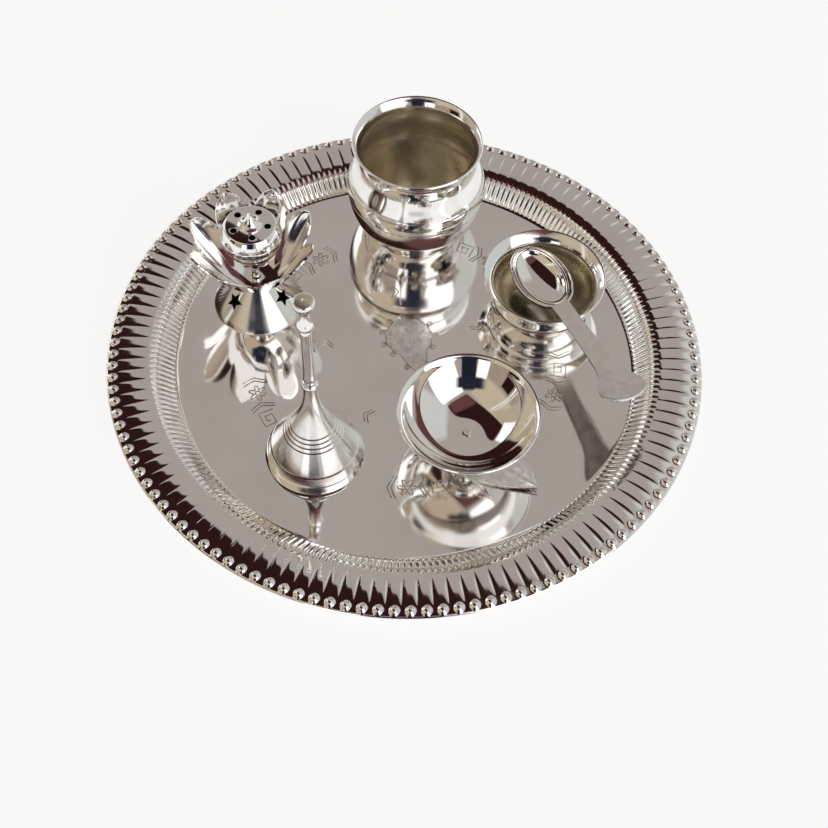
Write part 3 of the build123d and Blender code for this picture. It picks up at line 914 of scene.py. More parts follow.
@dataclass
class FloorChasing:
    """Pattern chased into the tray's floor: a ring of brackets, flowers and frets, and a frosted leaf.

    Attributes:
        ring: Radius of the ring's middle line.
        groups: Number of groups in the ring.
        first: Direction of the first group, in degrees.
        inner_ring: Radius of the inner ring of brackets.
        line: Radius of a line's section before it is flattened.
        flat: Share of that section's height that is kept.
        leaf_centre: Middle of the frosted leaf.
        leaf_radius: Radius of its round part.
        leaf_tip: Direction of its tip in degrees.
        leaf_point: How far the tip reaches beyond the round part.
        curls: Number of curls round the leaf's edge.
        leaf_steps: Number of points round the leaf's edge.
    """

    ring: float = 73.0
    groups: int = 5
    first: float = -151.0
    inner_ring: float = 39.0
    line: float = 0.34
    flat: float = 0.4
    leaf_centre: Point = (0.5, 11.0)
    leaf_radius: float = 10.8
    leaf_tip: float = -72.0
    leaf_point: float = 9.5
    curls: int = 11
    leaf_steps: int = 132

    @staticmethod
    def bracket(middle: float, half: float = 5.6) -> list[list[Point]]:
        """Two bent lines side by side, as distances round and outwards."""
        bent = [(2.4, half), (0.9, 0.45 * half), (0.0, 0.0), (1.4, -0.5 * half), (2.4, -half)]
        return [[(middle + shift + along, out) for along, out in bent] for shift in (0.0, 1.7)]

    @staticmethod
    def flower(middle: float) -> list[list[Point]]:
        """Six-petalled flower with a ring in its middle."""
        turns = [FULL_TURN * step / 60 for step in range(61)]
        petals = [(3.1 + 1.25 * math.cos(6 * turn), turn) for turn in turns]
        ring = [(1.15, turn) for turn in turns[::5]]
        return [[polar((middle, 0.0), reach, turn) for reach, turn in loop] for loop in (petals, ring)]

    @staticmethod
    def fret(middle: float) -> list[list[Point]]:
        """Square fret that winds inwards."""
        corners = [
            (-4.2, -3.6), (-4.2, 3.6), (3.4, 3.6), (3.4, -2.0),
            (-1.8, -2.0), (-1.8, 1.4), (1.1, 1.4), (1.1, 0.0)]
        return [[(middle + along, out) for along, out in corners]]

    def edge(self, turn: float) -> Point:
        """Point of the leaf's scalloped edge in a direction given in radians."""
        away = (turn - math.radians(self.leaf_tip) + math.pi) % FULL_TURN - math.pi
        reach = self.leaf_radius + self.leaf_point * math.exp(-((away / 0.36) ** 2))
        reach += 0.7 * abs(math.sin(self.curls * (turn - math.radians(self.leaf_tip)) / 2))
        return polar(self.leaf_centre, reach, turn)

    def curl(self, index: int) -> list[Point]:
        """Small curl outside the leaf's edge."""
        turn = math.radians(self.leaf_tip) + FULL_TURN * (index + 0.5) / self.curls
        start = polar(self.edge(turn), 1.5, turn)
        return [polar(start, 1.7 - 0.05 * step, turn + math.pi + 0.36 * step) for step in range(28)]

    def lines(self) -> list[list[Point]]:
        """Every chased line, in the tray's plane."""
        found: list[list[Point]] = []
        for group in range(self.groups):
            turn = math.radians(self.first + 360.0 * group / self.groups)
            marks = self.bracket(-18.0) + self.flower(-9.0) + self.bracket(-3.4)
            marks += self.fret(6.2) + self.bracket(12.6)
            inner = (self.bracket(-1.2, 3.6), self.inner_ring, turn + math.pi / self.groups)
            for shapes, radius, middle in ((marks, self.ring, turn), inner):
                for shape in shapes:
                    found.append([
                        polar((0.0, 0.0), radius + out, middle + along / radius) for along, out in shape])
        found.append([self.edge(FULL_TURN * step / self.leaf_steps) for step in range(self.leaf_steps + 1)])
        found += [self.curl(index) for index in range(self.curls)]
        return found

    def build(self, dresser: Dresser) -> None:
        """Draw the lines and the frosted leaf and dress them."""
        curve = bpy.data.curves.new("floor_chasing_lines", "CURVE")
        curve.dimensions = "3D"
        curve.bevel_depth = self.line * MM
        curve.bevel_resolution = 1
        curve.use_fill_caps = True
        for points in self.lines():
            spline = curve.splines.new("POLY")
            spline.points.add(len(points) - 1)
            for knot, (x, y) in zip(spline.points, points):
                knot.co = (x * MM, y * MM, FLOOR_TOP * MM, 1.0)
        lines = bpy.data.objects.new("floor_chasing_lines", curve)
        bpy.context.scene.collection.objects.link(lines)
        activate(lines)
        bpy.ops.object.convert(target="MESH")
        lines = bpy.context.object
        for vertex in lines.data.vertices:
            vertex.co.z = (FLOOR_TOP + (vertex.co.z / MM - FLOOR_TOP) * self.flat) * MM
        tidy_mesh(lines)
        lines.data.materials.clear()
        lines.data.materials.append(dresser.shelf.get(Finish.CHASED))
        dresser.wear(lines, "tray", None)
        rim = [self.edge(FULL_TURN * step / self.leaf_steps) for step in range(self.leaf_steps)]
        leaf = drawn_chain("floor_frosted_leaf", [Vector((x, y, FLOOR_TOP - 0.1)) * MM for x, y in rim])
        bpy.ops.mesh.edge_face_add()
        bpy.ops.mesh.extrude_region_move(TRANSFORM_OT_translate={"value": (0.0, 0.0, 0.16 * MM)})
        tidy_mesh(leaf)
        leaf.data.materials.append(dresser.shelf.get(Finish.STIPPLED))
        dresser.wear(leaf, "tray", None)


@dataclass
class Lota:
    """Small water pot of two brazed halves.

    Attributes:
        place: Place of its axis on the tray.
        wall: Thickness of its wall.
        base: Radius of its base.
        belly: Radius and height of its belly seam.
        neck: Radius and height of its neck.
        rim: Radius of its rim.
        height: Height of its rim.
        lip_slope: Slope of the lip, in degrees.
        floor: Height of its floor inside.
        seam: How far the edges at the seam are broken, across and up.
        grooves: Heights of the grooves below and above the seam.
        groove: Width and depth of a groove.
    """

    place: Point = (-0.976, 84.01)
    wall: float = 1.2
    base: float = 19.0
    belly: Point = (34.2, 31.0)
    neck: Point = (28.3, 51.5)
    rim: float = 31.4
    height: float = 58.8
    lip_slope: float = 38.0
    floor: float = 1.3
    seam: Point = (0.15, 0.12)
    grooves: Point = (27.6, 36.4)
    groove: Point = (0.7, 0.16)

    def lower(self) -> Outline:
        """Outline of the lower half."""
        run = smooth_run([(self.base, 0.0, 24.0), (*self.belly, 90.0)], 26)
        run = grooved(run, [self.grooves[0]], *self.groove)
        inner = offset_run(run, self.wall)[::-1]
        radius, height = self.belly
        inner[0] = (radius - self.wall, height)
        seam = [(radius, height - self.seam[1]), (radius - self.seam[0], height)]
        outline = Outline.of([(0.0, 0.0)] + run[:-1] + seam, Finish.POLISHED)
        outline.add(inner[:-2], Finish.TARNISHED)
        return outline.add([(self.base - 1.5, self.floor), (0.0, self.floor)], Finish.TARNISHED)

    def upper(self) -> Outline:
        """Outline of the upper half."""
        lip = self.height - self.wall * math.cos(math.radians(self.lip_slope))
        run = smooth_run([(*self.belly, 90.0), (*self.neck, 90.0), (self.rim, lip, self.lip_slope)], 18)
        run = grooved(run, [self.grooves[1]], *self.groove)
        inner = offset_run(run, self.wall)[::-1]
        radius, height = self.belly
        inner[-1] = (radius - self.wall, height)
        seam = [(radius - self.seam[0], height), (radius, height + self.seam[1])]
        throat = next(i for i, p in enumerate(inner) if p[1] < self.neck[1] + 1.0)
        outer = seam + run[1:] + rim_arc(run[-1], inner[0]) + inner[:throat]
        outline = Outline.of(outer, Finish.POLISHED)
        outline.add(inner[throat:], Finish.TARNISHED)
        return outline.close(Finish.TARNISHED)

    def build(self, dresser: Dresser) -> None:
        """Build both halves."""
        dresser.turned("lota_lower_bowl", "lota", self.lower(), self.place, 192)
        dresser.turned("lota_upper_shell", "lota", self.upper(), self.place, 192)


@dataclass
class CupAndLadle:
    """Offering cup, and the ladle that leans over its rim.

    Attributes:
        place: Place of the cup's axis on the tray.
        wall: Thickness of the cup's wall.
        base: Radius of the cup's base.
        belly: Radius and height of its belly.
        throat: Radius and height of its throat.
        rim: Radius of its rim.
        height: Height of its rim.
        lip_slope: Slope of its lip, in degrees.
        floor: Height of its floor inside.
        bowl_length: Length of the ladle's oval bowl.
        bowl_width: Width of that bowl.
        bowl_depth: Depth of that bowl.
        bowl_wall: Thickness of the bowl.
        sheet: Thickness of the handle.
        heading: Direction of the handle in plan, in degrees.
        tilt: Tilt of the bowl, in degrees.
        bend: Bend between the bowl and the handle, in degrees.
        offset: How far the bowl sits behind the cup's axis.
        gap: Gap where the ladle leans on the cup.
        widths: Handle stations as distance from its root and half width.
    """

    place: Point = (63.956, 35.989)
    wall: float = 1.0
    base: float = 15.0
    belly: Point = (25.6, 11.0)
    throat: Point = (25.0, 16.5)
    rim: float = 29.4
    height: float = 22.6
    lip_slope: float = 34.0
    floor: float = 1.0
    bowl_length: float = 42.0
    bowl_width: float = 27.6
    bowl_depth: float = 9.0
    bowl_wall: float = 0.9
    sheet: float = 1.2
    heading: float = -65.0
    tilt: float = 4.0
    bend: float = 8.0
    offset: float = 2.6
    gap: float = 0.3
    widths: tuple[Point, ...] = (
        (0.0, 4.5), (6.0, 4.45), (14.0, 4.4), (22.0, 4.5), (30.0, 4.75), (38.0, 5.05),
        (44.0, 5.3), (47.9, 5.6), (51.0, 6.3), (54.5, 7.7), (57.5, 9.2), (60.5, 10.5),
        (63.0, 11.0), (65.0, 10.6), (66.8, 9.2), (68.2, 7.2), (69.3, 4.4), (69.9, 1.3))

    def cup(self) -> Outline:
        """Outline of the cup."""
        lip = self.height - self.wall * math.cos(math.radians(self.lip_slope))
        nodes = [(self.base, 0.0, 18.0), (*self.belly, 90.0), (*self.throat, 90.0)]
        run = smooth_run(nodes + [(self.rim, lip, self.lip_slope)], 14)
        inner = offset_run(run, self.wall)[::-1]
        throat = next(i for i, p in enumerate(inner) if p[1] < self.throat[1] + 0.3)
        outer = [(0.0, 0.0)] + run + rim_arc(run[-1], inner[0]) + inner[:throat]
        floor = [(self.base - 0.8, self.floor), (0.0, self.floor)]
        return Outline.of(outer, Finish.POLISHED).add(inner[throat:-1] + floor, Finish.TARNISHED)

    def root_reach(self) -> float:
        """Distance from the middle of the bowl to the handle's root."""
        return self.bowl_length / 2 - self.bowl_wall

    def pose(self) -> Matrix:
        """Place and tilt of the ladle, from a frame whose origin is the middle of the bowl's rim."""
        lip = self.rim - self.wall * math.sin(math.radians(self.lip_slope))
        tilt = math.radians(self.tilt)
        run = self.offset + lip - self.root_reach() * math.cos(tilt)
        rise = self.root_reach() * math.sin(tilt) + run * math.tan(math.radians(self.tilt + self.bend))
        turn = math.radians(self.heading)
        height = FLOOR_TOP + self.height + self.gap - rise
        spot = Vector((*polar(self.place, -self.offset, turn), height)) * MM
        return Matrix.Translation(spot) @ Matrix.Rotation(turn, 4, "Z") @ Matrix.Rotation(-tilt, 4, "Y")

    def ladle_bowl(self, dresser: Dresser) -> bpy.types.Object:
        """Spin a round bowl with its rim at height zero and draw it out into an oval."""
        radius, depth, wall = self.bowl_width / 2, self.bowl_depth, self.bowl_wall
        turns = [math.radians(90.0 * step / 22) for step in range(23)]
        outer = [(radius * math.sin(t), -depth * math.cos(t)) for t in turns]
        inner = [((radius - wall) * math.sin(t), (wall - depth) * math.cos(t)) for t in reversed(turns)]
        rim = [(radius, -0.2), (radius - 0.2, 0.0), (radius - wall + 0.2, 0.0), (radius - wall, -0.2)]
        outline = Outline.of(outer[:-1] + rim, Finish.POLISHED).add(inner[1:], Finish.MIRROR)
        bowl = dresser.shaped("ladle_bowl", outline, (0.0, 0.0), 112, 0.0)
        edit_all(bowl)
        bpy.ops.transform.resize(
            value=(self.bowl_length / self.bowl_width, 1.0, 1.0), center_override=(0.0, 0.0, 0.0))
        bpy.ops.object.mode_set(mode="OBJECT")
        return bowl

    def ladle_handle(self, dresser: Dresser) -> bpy.types.Object:
        """Extrude the handle from station to station, thicken it and round its edges."""
        handle = strip("ladle_handle_look", [(along, half, 0.0) for along, half in self.widths], 6)
        finish_strip(handle, self.sheet, 0.25)
        handle.data.materials.append(dresser.shelf.get(Finish.WORN))
        handle.data.materials.append(dresser.shelf.get(Finish.STIPPLED))
        for face in handle.data.polygons:
            centre = face.center / MM
            inside = centre.x > 50.0 and abs(centre.y) < 9.5
            face.material_index = 1 if inside and face.normal.z > 0.9 else 0
        tidy_mesh(handle)
        return handle

    def build(self, dresser: Dresser) -> None:
        """Build the cup and the ladle."""
        dresser.turned("cup_body", "cup", self.cup(), self.place, 176)
        bowl = self.ladle_bowl(dresser)
        handle = self.ladle_handle(dresser)
        root = Matrix.Translation((self.root_reach() * MM, 0.0, 0.0))
        handle.data.transform(root @ Matrix.Rotation(-math.radians(self.bend), 4, "Y"))
        for piece, node in ((bowl, "ladle_bowl"), (handle, "ladle_handle")):
            piece.data.transform(self.pose())
            dresser.wear(piece, "ladle", node)


@dataclass
class Diya:
    """Oil lamp: a polished bowl on a stem and a leaf.

    Attributes:
        place: Place of its axis on the tray.
        wall: Thickness of the bowl.
        seat: Radius of the bowl's seat on the stem.
        rim: Radius of the rim.
        depth: Depth of the bowl.
        height: Height of the rim.
        lip: Width of the turned-out lip.
        slopes: Slope of the side under the lip, and of the lip, in degrees.
        stem_foot: Radius of the stem's foot.
        stem_waist: Radius of the stem's waist.
        heading: Direction of the leaf's tip, in degrees.
        leaf_sheet: Thickness of the leaf.
        leaf_tip: Distance of the leaf's tip from the axis.
        leaf_back: Distance of its back end from the axis.
        leaf_widest: Distance of its widest place from the axis, and half width there.
        leaf_narrow: Half width of its narrow side, as a share of the wide side's.
        leaf_lift: Distance from which the tip rises, and its rise.
        rivet: Radius of the rivet and of its head.
        milling: Number of milled teeth round the lip.
        tooth: Depth of a tooth.
    """

    place: Point = (30.027, -50.948)
    wall: float = 1.0
    seat: float = 6.5
    rim: float = 31.6
    depth: float = 18.0
    height: float = 31.6
    lip: float = 1.8
    slopes: Point = (62.0, 25.0)
    stem_foot: float = 6.0
    stem_waist: float = 4.0
    heading: float = -30.5
    leaf_sheet: float = 1.2
    leaf_tip: float = 38.5
    leaf_back: float = 22.0
    leaf_widest: Point = (7.7, 20.0)
    leaf_narrow: float = 0.6
    leaf_lift: Point = (14.6, 1.8)
    rivet: Point = (1.2, 2.0)
    milling: int = 190
    tooth: float = 0.3

    def bowl_base(self) -> float:
        """Height of the bowl's underside."""
        return self.height - self.depth - self.wall

    def bore(self) -> float:
        """Radius of the hole that the rivet passes through."""
        return self.rivet[0] + CLEARANCE

    def bowl(self) -> Outline:
        """Outline of the bowl."""
        low = self.bowl_base()
        steep, shallow = self.slopes
        rim_height = self.height - self.wall * math.cos(math.radians(shallow))
        side = rim_height - self.lip * math.sin(math.radians(steep))
        nodes = [(self.seat, low, 0.0), (self.rim - self.lip, side, steep), (self.rim, rim_height, shallow)]
        run = smooth_run(nodes[:2], 26) + smooth_run(nodes[1:], 5)[1:]
        inner = offset_run(run, self.wall)[::-1]
        inner[-1] = (self.seat, low + self.wall)
        hole = self.bore()
        outline = Outline.of([(hole, low)] + run + rim_arc(run[-1], inner[0]), Finish.POLISHED)
        outline.add(inner + [(hole, low + self.wall)], Finish.MIRROR)
        return outline.close(Finish.POLISHED)

    def stem(self) -> Outline:
        """Outline of the waisted stem."""
        low = self.leaf_sheet
        high = self.bowl_base()
        hole = self.bore()
        middle = (low + high) / 2
        run = [(hole, low), (self.stem_foot, low), (self.stem_foot, low + 0.6)]
        run += hermite(run[-1], (self.stem_waist, middle), 165.0, 90.0, 8)
        run += hermite(run[-1], (self.seat, high - 0.5), 90.0, 12.0, 8)
        run += [(self.seat, high), (hole, high)]
        return Outline.of(run, Finish.TURNED).close(Finish.TURNED)

    def pin(self) -> Outline:
        """Outline of the rivet and its flat head."""
        seat = self.bowl_base() + self.wall
        head = self.rivet[1]
        run = [(0.0, 0.0), (self.rivet[0], 0.0), (self.rivet[0], seat), (head, seat), (head, seat + 0.3)]
        run += hermite((head, seat + 0.3), (0.0, seat + 0.6), 105.0, 180.0, 5)
        return Outline.of(run, Finish.POLISHED)

    def leaf_stations(self) -> list[Station]:
        """Leaf stations as distance from the axis, half width of the wide side and lift."""
        edge = hermite((-self.leaf_back, 0.0), self.leaf_widest, 90.0, 0.0, 9)
        edge += hermite(self.leaf_widest, (self.leaf_tip, 0.2), 0.0, -43.0, 14)
        start, rise = self.leaf_lift
        return [(x, half, rise * (max(x - start, 0.0) / (self.leaf_tip - start)) ** 2) for x, half in edge]

    def leaf_base(self, dresser: Dresser) -> bpy.types.Object:
        """Extrude the leaf from station to station, raise its veins, thicken it and turn it into place."""
        leaf = strip("diya_leaf_base_look", self.leaf_stations(), 24)
        for vertex in leaf.data.vertices:
            x, y = vertex.co.x / MM, vertex.co.y / MM
            vein = abs(math.sin((x + 0.7 * abs(y)) * 0.62)) ** 12
            vertex.co.z += (0.3 * math.exp(-((y / 0.9) ** 2)) + 0.16 * vein) * MM
            if y < 0:
                vertex.co.y *= self.leaf_narrow
        finish_strip(leaf, self.leaf_sheet, 0.2)
        leaf.data.materials.append(dresser.shelf.get(Finish.STIPPLED))
        place = Matrix.Translation(Vector((*self.place, FLOOR_TOP)) * MM)
        leaf.data.transform(place @ Matrix.Rotation(math.radians(self.heading), 4, "Z"))
        tidy_mesh(leaf)
        return leaf

    def mill(self, bowl: bpy.types.Object) -> None:
        """Press small teeth into the outer edge of the lip."""
        centre = Vector((*self.place, 0.0)) * MM
        lowest = (FLOOR_TOP + self.height - 2.6) * MM
        for vertex in bowl.data.vertices:
            out = (vertex.co - centre).to_2d().to_3d()
            inside = out.length < (self.rim - 1.4) * MM or vertex.normal.dot(out.normalized()) < 0.2
            if vertex.co.z < lowest or inside:
                continue
            column = round(math.atan2(out.y, out.x) / FULL_TURN * 2 * self.milling)
            if column % 2:
                vertex.co -= out.normalized() * self.tooth * MM
        bowl.data.update()

    def build(self, dresser: Dresser) -> None:
        """Build the bowl, stem, rivet and leaf."""
        self.mill(dresser.turned("diya_bowl", "diya", self.bowl(), self.place, 2 * self.milling))
        dresser.turned("diya_stem", "diya", self.stem(), self.place, 96)
        dresser.turned("diya_rivet", "diya", self.pin(), self.place, 48)
        dresser.wear(self.leaf_base(dresser), "diya", "diya_leaf_base")


@dataclass
class Bell:
    """Hand bell with a turned handle and a clapper that hangs in it.

    Attributes:
        place: Place of its axis on the tray.
        wall: Thickness of the bell.
        nodes: Outline of the bell as radius, height and heading.
        crown: Height of the inside of the crown.
        height: Height of the knob's top.
        spigot: Radius of the handle's spigot.
        ring: Radius of the ring at the handle's foot.
        grip: Radius of the grip.
        collar: Radius of the collar.
        stem: Radius of the thin stem under the knob.
        knob: Radius and height of the knob.
        nut: Radius and height of the staple's nut.
        loop: Ring and wire radius of the staple.
        eye: Ring and wire radius of the clapper's eye.
        rod: Radius of the clapper's rod.
        ball: Radius of the clapper's ball.
        hang: Length from the staple's wire to the middle of the ball.
    """

    place: Point = (-37.723, -57.018)
    wall: float = 1.4
    nodes: tuple[Station, ...] = (
        (22.5, 0.0, 98.0), (19.4, 8.5, 119.0), (12.0, 21.5, 119.0), (5.0, 36.5, 108.0), (2.9, 51.5, 90.0))
    crown: float = 35.5
    height: float = 110.0
    spigot: float = 1.2
    ring: float = 3.2
    grip: float = 2.5
    collar: float = 3.4
    stem: float = 2.0
    knob: Point = (4.5, 4.2)
    nut: Point = (2.4, 2.6)
    loop: Point = (2.0, 0.55)
    eye: Point = (1.75, 0.5)
    rod: float = 0.8
    ball: float = 4.3
    hang: float = 23.0

    def bore(self) -> float:
        """Radius of the holes that the handle's spigot passes through."""
        return self.spigot + CLEARANCE

    def nut_base(self) -> float:
        """Height of the underside of the staple's nut."""
        return self.crown - self.nut[1]

    def cup(self) -> Outline:
        """Outline of the bell with its turned grooves."""
        run = smooth_run(list(self.nodes), 14)
        inner = [p for p in offset_run(run, self.wall) if p[1] < self.crown - 0.4][::-1]
        inner[-1] = (self.nodes[0][0] - self.wall, 0.0)
        outer = grooved(run, [4.3, 8.6], 1.5, 0.55)
        outer = grooved(outer, [19.4, 21.4, 23.4, 25.4], 1.1, 0.42)
        hole = self.bore()
        crown = [(hole, self.nodes[-1][1]), (hole, self.crown), (inner[0][0] - 0.2, self.crown)]
        outline = Outline.of(outer + crown, Finish.TURNED).add(inner, Finish.TARNISHED)
        return outline.close(Finish.TURNED)

    def handle(self) -> Outline:
        """Outline of the handle with its ring, grip, collar and stem."""
        foot = self.nodes[-1][1]
        length = self.height - self.knob[1] - foot
        end = self.nut_base()
        spots = {share: foot + share * length for share in (0.0, 0.07, 0.09, 0.74, 0.77, 0.81, 0.92, 1.0)}
        run = [(0.0, end), (self.spigot, end), (self.spigot, foot), (self.ring - 0.5, foot)]
        run += hermite(run[-1], (self.ring - 0.5, spots[0.07]), 10.0, 170.0, 6)
        run += [(self.grip - 0.25, spots[0.07] + 0.2), (self.grip - 0.25, spots[0.09])]
        run += hermite(run[-1], (self.grip, spots[0.09] + 6.0), 60.0, 90.0, 5)
        run += hermite(run[-1], (self.grip - 0.15, spots[0.74] - 3.0), 91.0, 90.0, 4)
        run += hermite(run[-1], (self.grip - 0.45, spots[0.74]), 92.0, 120.0, 3)
        run += hermite(run[-1], (self.collar, spots[0.77]), 60.0, 45.0, 4)
        run += hermite(run[-1], (self.collar, spots[0.81]), 75.0, 105.0, 3)
        run += hermite(run[-1], (self.stem, spots[0.92]), 125.0, 90.0, 7)
        run += hermite(run[-1], (self.collar, spots[1.0]), 90.0, 35.0, 7)
        run += [(0.0, spots[1.0])]
        return Outline.of(run, Finish.TURNED)

    def knob_cap(self) -> Outline:
        """Outline of the flat knob with a dimple."""
        low = self.height - self.knob[1]
        side = hermite((self.collar, low), (self.knob[0], low + 2.4), 12.0, 90.0, 7)
        side += hermite((self.knob[0], low + 2.4), (self.knob[0] - 0.7, self.height - 0.25), 90.0, 165.0, 5)
        outline = Outline.of([(0.0, low), (self.collar, low)] + side, Finish.TURNED)
        dimple = hermite((0.95, self.height), (0.0, self.height - 0.75), 215.0, 180.0, 5)
        return outline.add([(3.0, self.height - 0.05), (0.95, self.height)] + dimple, Finish.PALE_BRASS)

    def staple(self, dresser: Dresser) -> bpy.types.Object:
        """Nut under the crown with its wire loop."""
        low = self.nut_base()
        hole = self.bore()
        run = [(hole, low), (self.nut[0] - 0.3, low), (self.nut[0], low + 0.3)]
        run += [(self.nut[0], self.crown), (hole, self.crown)]
        outline = Outline.of(run, Finish.STEEL).close(Finish.STEEL)
        nut = spun("staple_nut", outline, self.place, FLOOR_TOP, 40)
        centre = Vector((*self.place, FLOOR_TOP + low - self.loop[1]))
        loop = wire_ring(
            "staple_loop", centre, self.loop[0], self.loop[1],
            Vector((0.0, 1.0, 0.0)), Vector((1.0, 0.0, 0.0)))
        piece = joined([nut, loop], "bell_clapper_staple_look")
        piece.data.materials.append(dresser.shelf.get(Finish.STEEL))
        return piece

    def clapper(self, dresser: Dresser) -> bpy.types.Object:
        """Eye, rod and ball that hang on the staple's wire."""
        pivot = self.nut_base() - self.loop[1] - self.loop[0]
        drop = self.eye[0] - self.eye[1] - self.loop[1] - 0.15
        eye_height = pivot - drop
        ball = pivot - self.hang
        turns = [math.pi * step / 18 for step in range(17)]
        run = [(self.ball * math.sin(t), ball - self.ball * math.cos(t)) for t in turns if t > 0]
        run = [p for p in run if p[0] > self.rod + 0.2 or p[1] < ball]
        top = eye_height - self.eye[0] + 0.2
        run += [(self.rod, run[-1][1] + 0.4), (self.rod, top), (0.0, top + 0.3)]
        outline = Outline.of([(0.0, ball - self.ball)] + run, Finish.STEEL)
        rod = spun("clapper_rod", outline, self.place, FLOOR_TOP, 48)
        eye = wire_ring(
            "clapper_eye", Vector((*self.place, FLOOR_TOP + eye_height)), self.eye[0], self.eye[1],
            Vector((1.0, 0.0, 0.0)), Vector((0.0, 1.0, 0.0)))
        piece = joined([rod, eye], "bell_clapper_look")
        piece.data.materials.append(dresser.shelf.get(Finish.STEEL))
        return piece

    def build(self, dresser: Dresser) -> None:
        """Build the bell, its handle and its clapper."""
        dresser.turned("bell_cup", "bell", self.cup(), self.place, 160)
        dresser.turned("bell_handle", "bell", self.handle(), self.place, 64)
        dresser.turned("bell_handle_knob", "bell", self.knob_cap(), self.place, 72)
        dresser.wear(self.staple(dresser), "bell", "bell_clapper_staple")
        dresser.wear(self.clapper(dresser), "clapper", "bell_clapper")


@dataclass
class IncenseStand:
    """Incense stand: cone foot with stars, lotus, rod, holder, cap and finial.

    Attributes:
        place: Place of its axis on the tray.
        foot: Radius of the cone's foot.
        foot_edge: Height of the foot's upright edge.
        cone_top: Radius of the cone's flat top.
        cone: Height of the cone.
        cone_heading: Heading of the cone's side as it rises, in degrees.
        sheet: Thickness of the cone.
        star: Radius of a star.
        star_inner: Radius of its inner corners, as a share of that.
        star_ring: Distance of the stars from the axis.
        star_angles: Directions of the stars, in degrees.
        petals: Number of petals.
        petal_first: Direction of the first petal, in degrees.
        petal_notch: Distance of the notches between petals from the axis.
        petal_tip: Distance of the petal tips from the axis.
        petal_rise: How far the petals rise.
        petal_bend: Distance from the axis where they start to curl and ripple.
        petal_sheet: Thickness of a petal.
        rod: Radius of the rod's shaft and of its spigots.
        shaft: Length of the shaft.
        holder: Radius of the half-round holder.
        holder_wall: Thickness of the holder.
        cap_top: Radius of the cap's flat top.
        cap: Height of the cap.
        cap_wall: Thickness of the cap.
        hole: Radius of a stick hole.
        hole_ring: Distance of the holes from the axis.
        hole_first: Direction of the first hole, in degrees.
        holes: Number of holes.
        finial: Radius and height of the finial.
        nut: Radius over the corners and height of the nut.
    """

    place: Point = (-74.146, 27.967)
    foot: float = 21.7
    foot_edge: float = 0.8
    cone_top: float = 3.6
    cone: float = 18.6
    cone_heading: float = 135.5
    sheet: float = 0.8
    star: float = 4.7
    star_inner: float = 0.48
    star_ring: float = 13.4
    star_angles: tuple[float, ...] = (-139.0, -19.0, 101.0)
    petals: int = 8
    petal_first: float = 32.5
    petal_notch: float = 18.5
    petal_tip: float = 29.5
    petal_rise: float = 30.5
    petal_bend: float = 12.0
    petal_sheet: float = 0.7
    rod: Point = (1.9, 1.15)
    shaft: float = 14.6
    holder: float = 14.2
    holder_wall: float = 0.8
    cap_top: float = 11.3
    cap: float = 6.9
    cap_wall: float = 0.9
    hole: float = 1.6
    hole_ring: float = 8.2
    hole_first: float = -3.5
    holes: int = 5
    finial: Point = (5.8, 8.0)
    nut: Point = (3.2, 2.2)

    def bore(self) -> float:
        """Radius of the holes that the rod's spigots pass through."""
        return self.rod[1] + CLEARANCE

    def holder_base(self) -> float:
        """Height of the holder's lowest point."""
        return self.cone + self.petal_sheet + self.shaft

    def cap_base(self) -> float:
        """Height of the holder's rim."""
        return self.holder_base() + self.holder

    def base_cone(self) -> Outline:
        """Outline of the cone foot."""
        hole = self.bore()
        outer = [(self.foot, 0.0), (self.foot, self.foot_edge - 0.2), (self.foot - 0.15, self.foot_edge)]
        rising, falling = self.cone_heading, self.cone_heading - 180.0
        outer += hermite(outer[-1], (self.cone_top + 0.2, self.cone - 0.15), rising, rising, 10)
        outer += [(self.cone_top - 0.1, self.cone), (hole, self.cone)]
        inner = [(hole, self.cone - self.sheet), (self.cone_top - 0.4, self.cone - self.sheet)]
        inner += hermite(inner[-1], (self.foot - self.sheet, self.foot_edge - 0.4), falling, falling, 10)
        inner += [(self.foot - self.sheet, 0.0)]
        # The inside of the cone foot wears painted shade.
        outline = Outline.of(outer + inner[:1], Finish.TURNED).add(inner[1:], Finish.SOOTY)
        return outline.close(Finish.TURNED)

    def star_cutter(self, angle: float) -> bpy.types.Object:
        """Star-shaped cutter square to the cone's side.

        Args:
            angle: Direction of the star from the axis, in degrees.

        Returns:
            The closed cutter.
        """
        turn = math.radians(angle)
        slope = (self.cone - self.foot_edge) / (self.foot - self.cone_top)
        height = self.foot_edge + slope * (self.foot - self.star_ring)
        out = Vector((slope * math.cos(turn), slope * math.sin(turn), 1.0)).normalized()
        level = Vector((-math.sin(turn), math.cos(turn), 0.0))
        frame = Matrix((level, out.cross(level), out)).transposed().to_4x4()
        spot = Vector((*polar(self.place, self.star_ring, turn), FLOOR_TOP + height)) * MM
        star = prism(10, self.star, -2.0, 2.0, self.star_inner)
        star.data.transform(Matrix.Translation(spot) @ frame)
        return star

    def petal_height(self, radius: float) -> float:
        """Height of the lotus dish above the cone's top at a distance from the axis."""
        root = self.rod[0] + 0.4
        if radius <= root:
            return 0.0
        run = hermite((root, 0.0), (self.petal_tip + 1.0, self.petal_rise), 0.0, 54.0, 24)
        run = [(root, 0.0)] + run
        for before, after in zip(run, run[1:]):
            if before[0] <= radius <= after[0]:
                share = (radius - before[0]) / (after[0] - before[0])
                return before[1] + share * (after[1] - before[1])
        return self.petal_rise

    def petal_half_width(self, radius: float) -> float:
        """Half width of a petal at a distance from the axis, in degrees of turn."""
        pitch = 180.0 / self.petals
        if radius <= self.petal_notch:
            return pitch
        share = min((radius - self.petal_notch) / (self.petal_tip - self.petal_notch), 1.0)
        return pitch * max((1.0 - share**2.4) ** 0.68, 0.012)

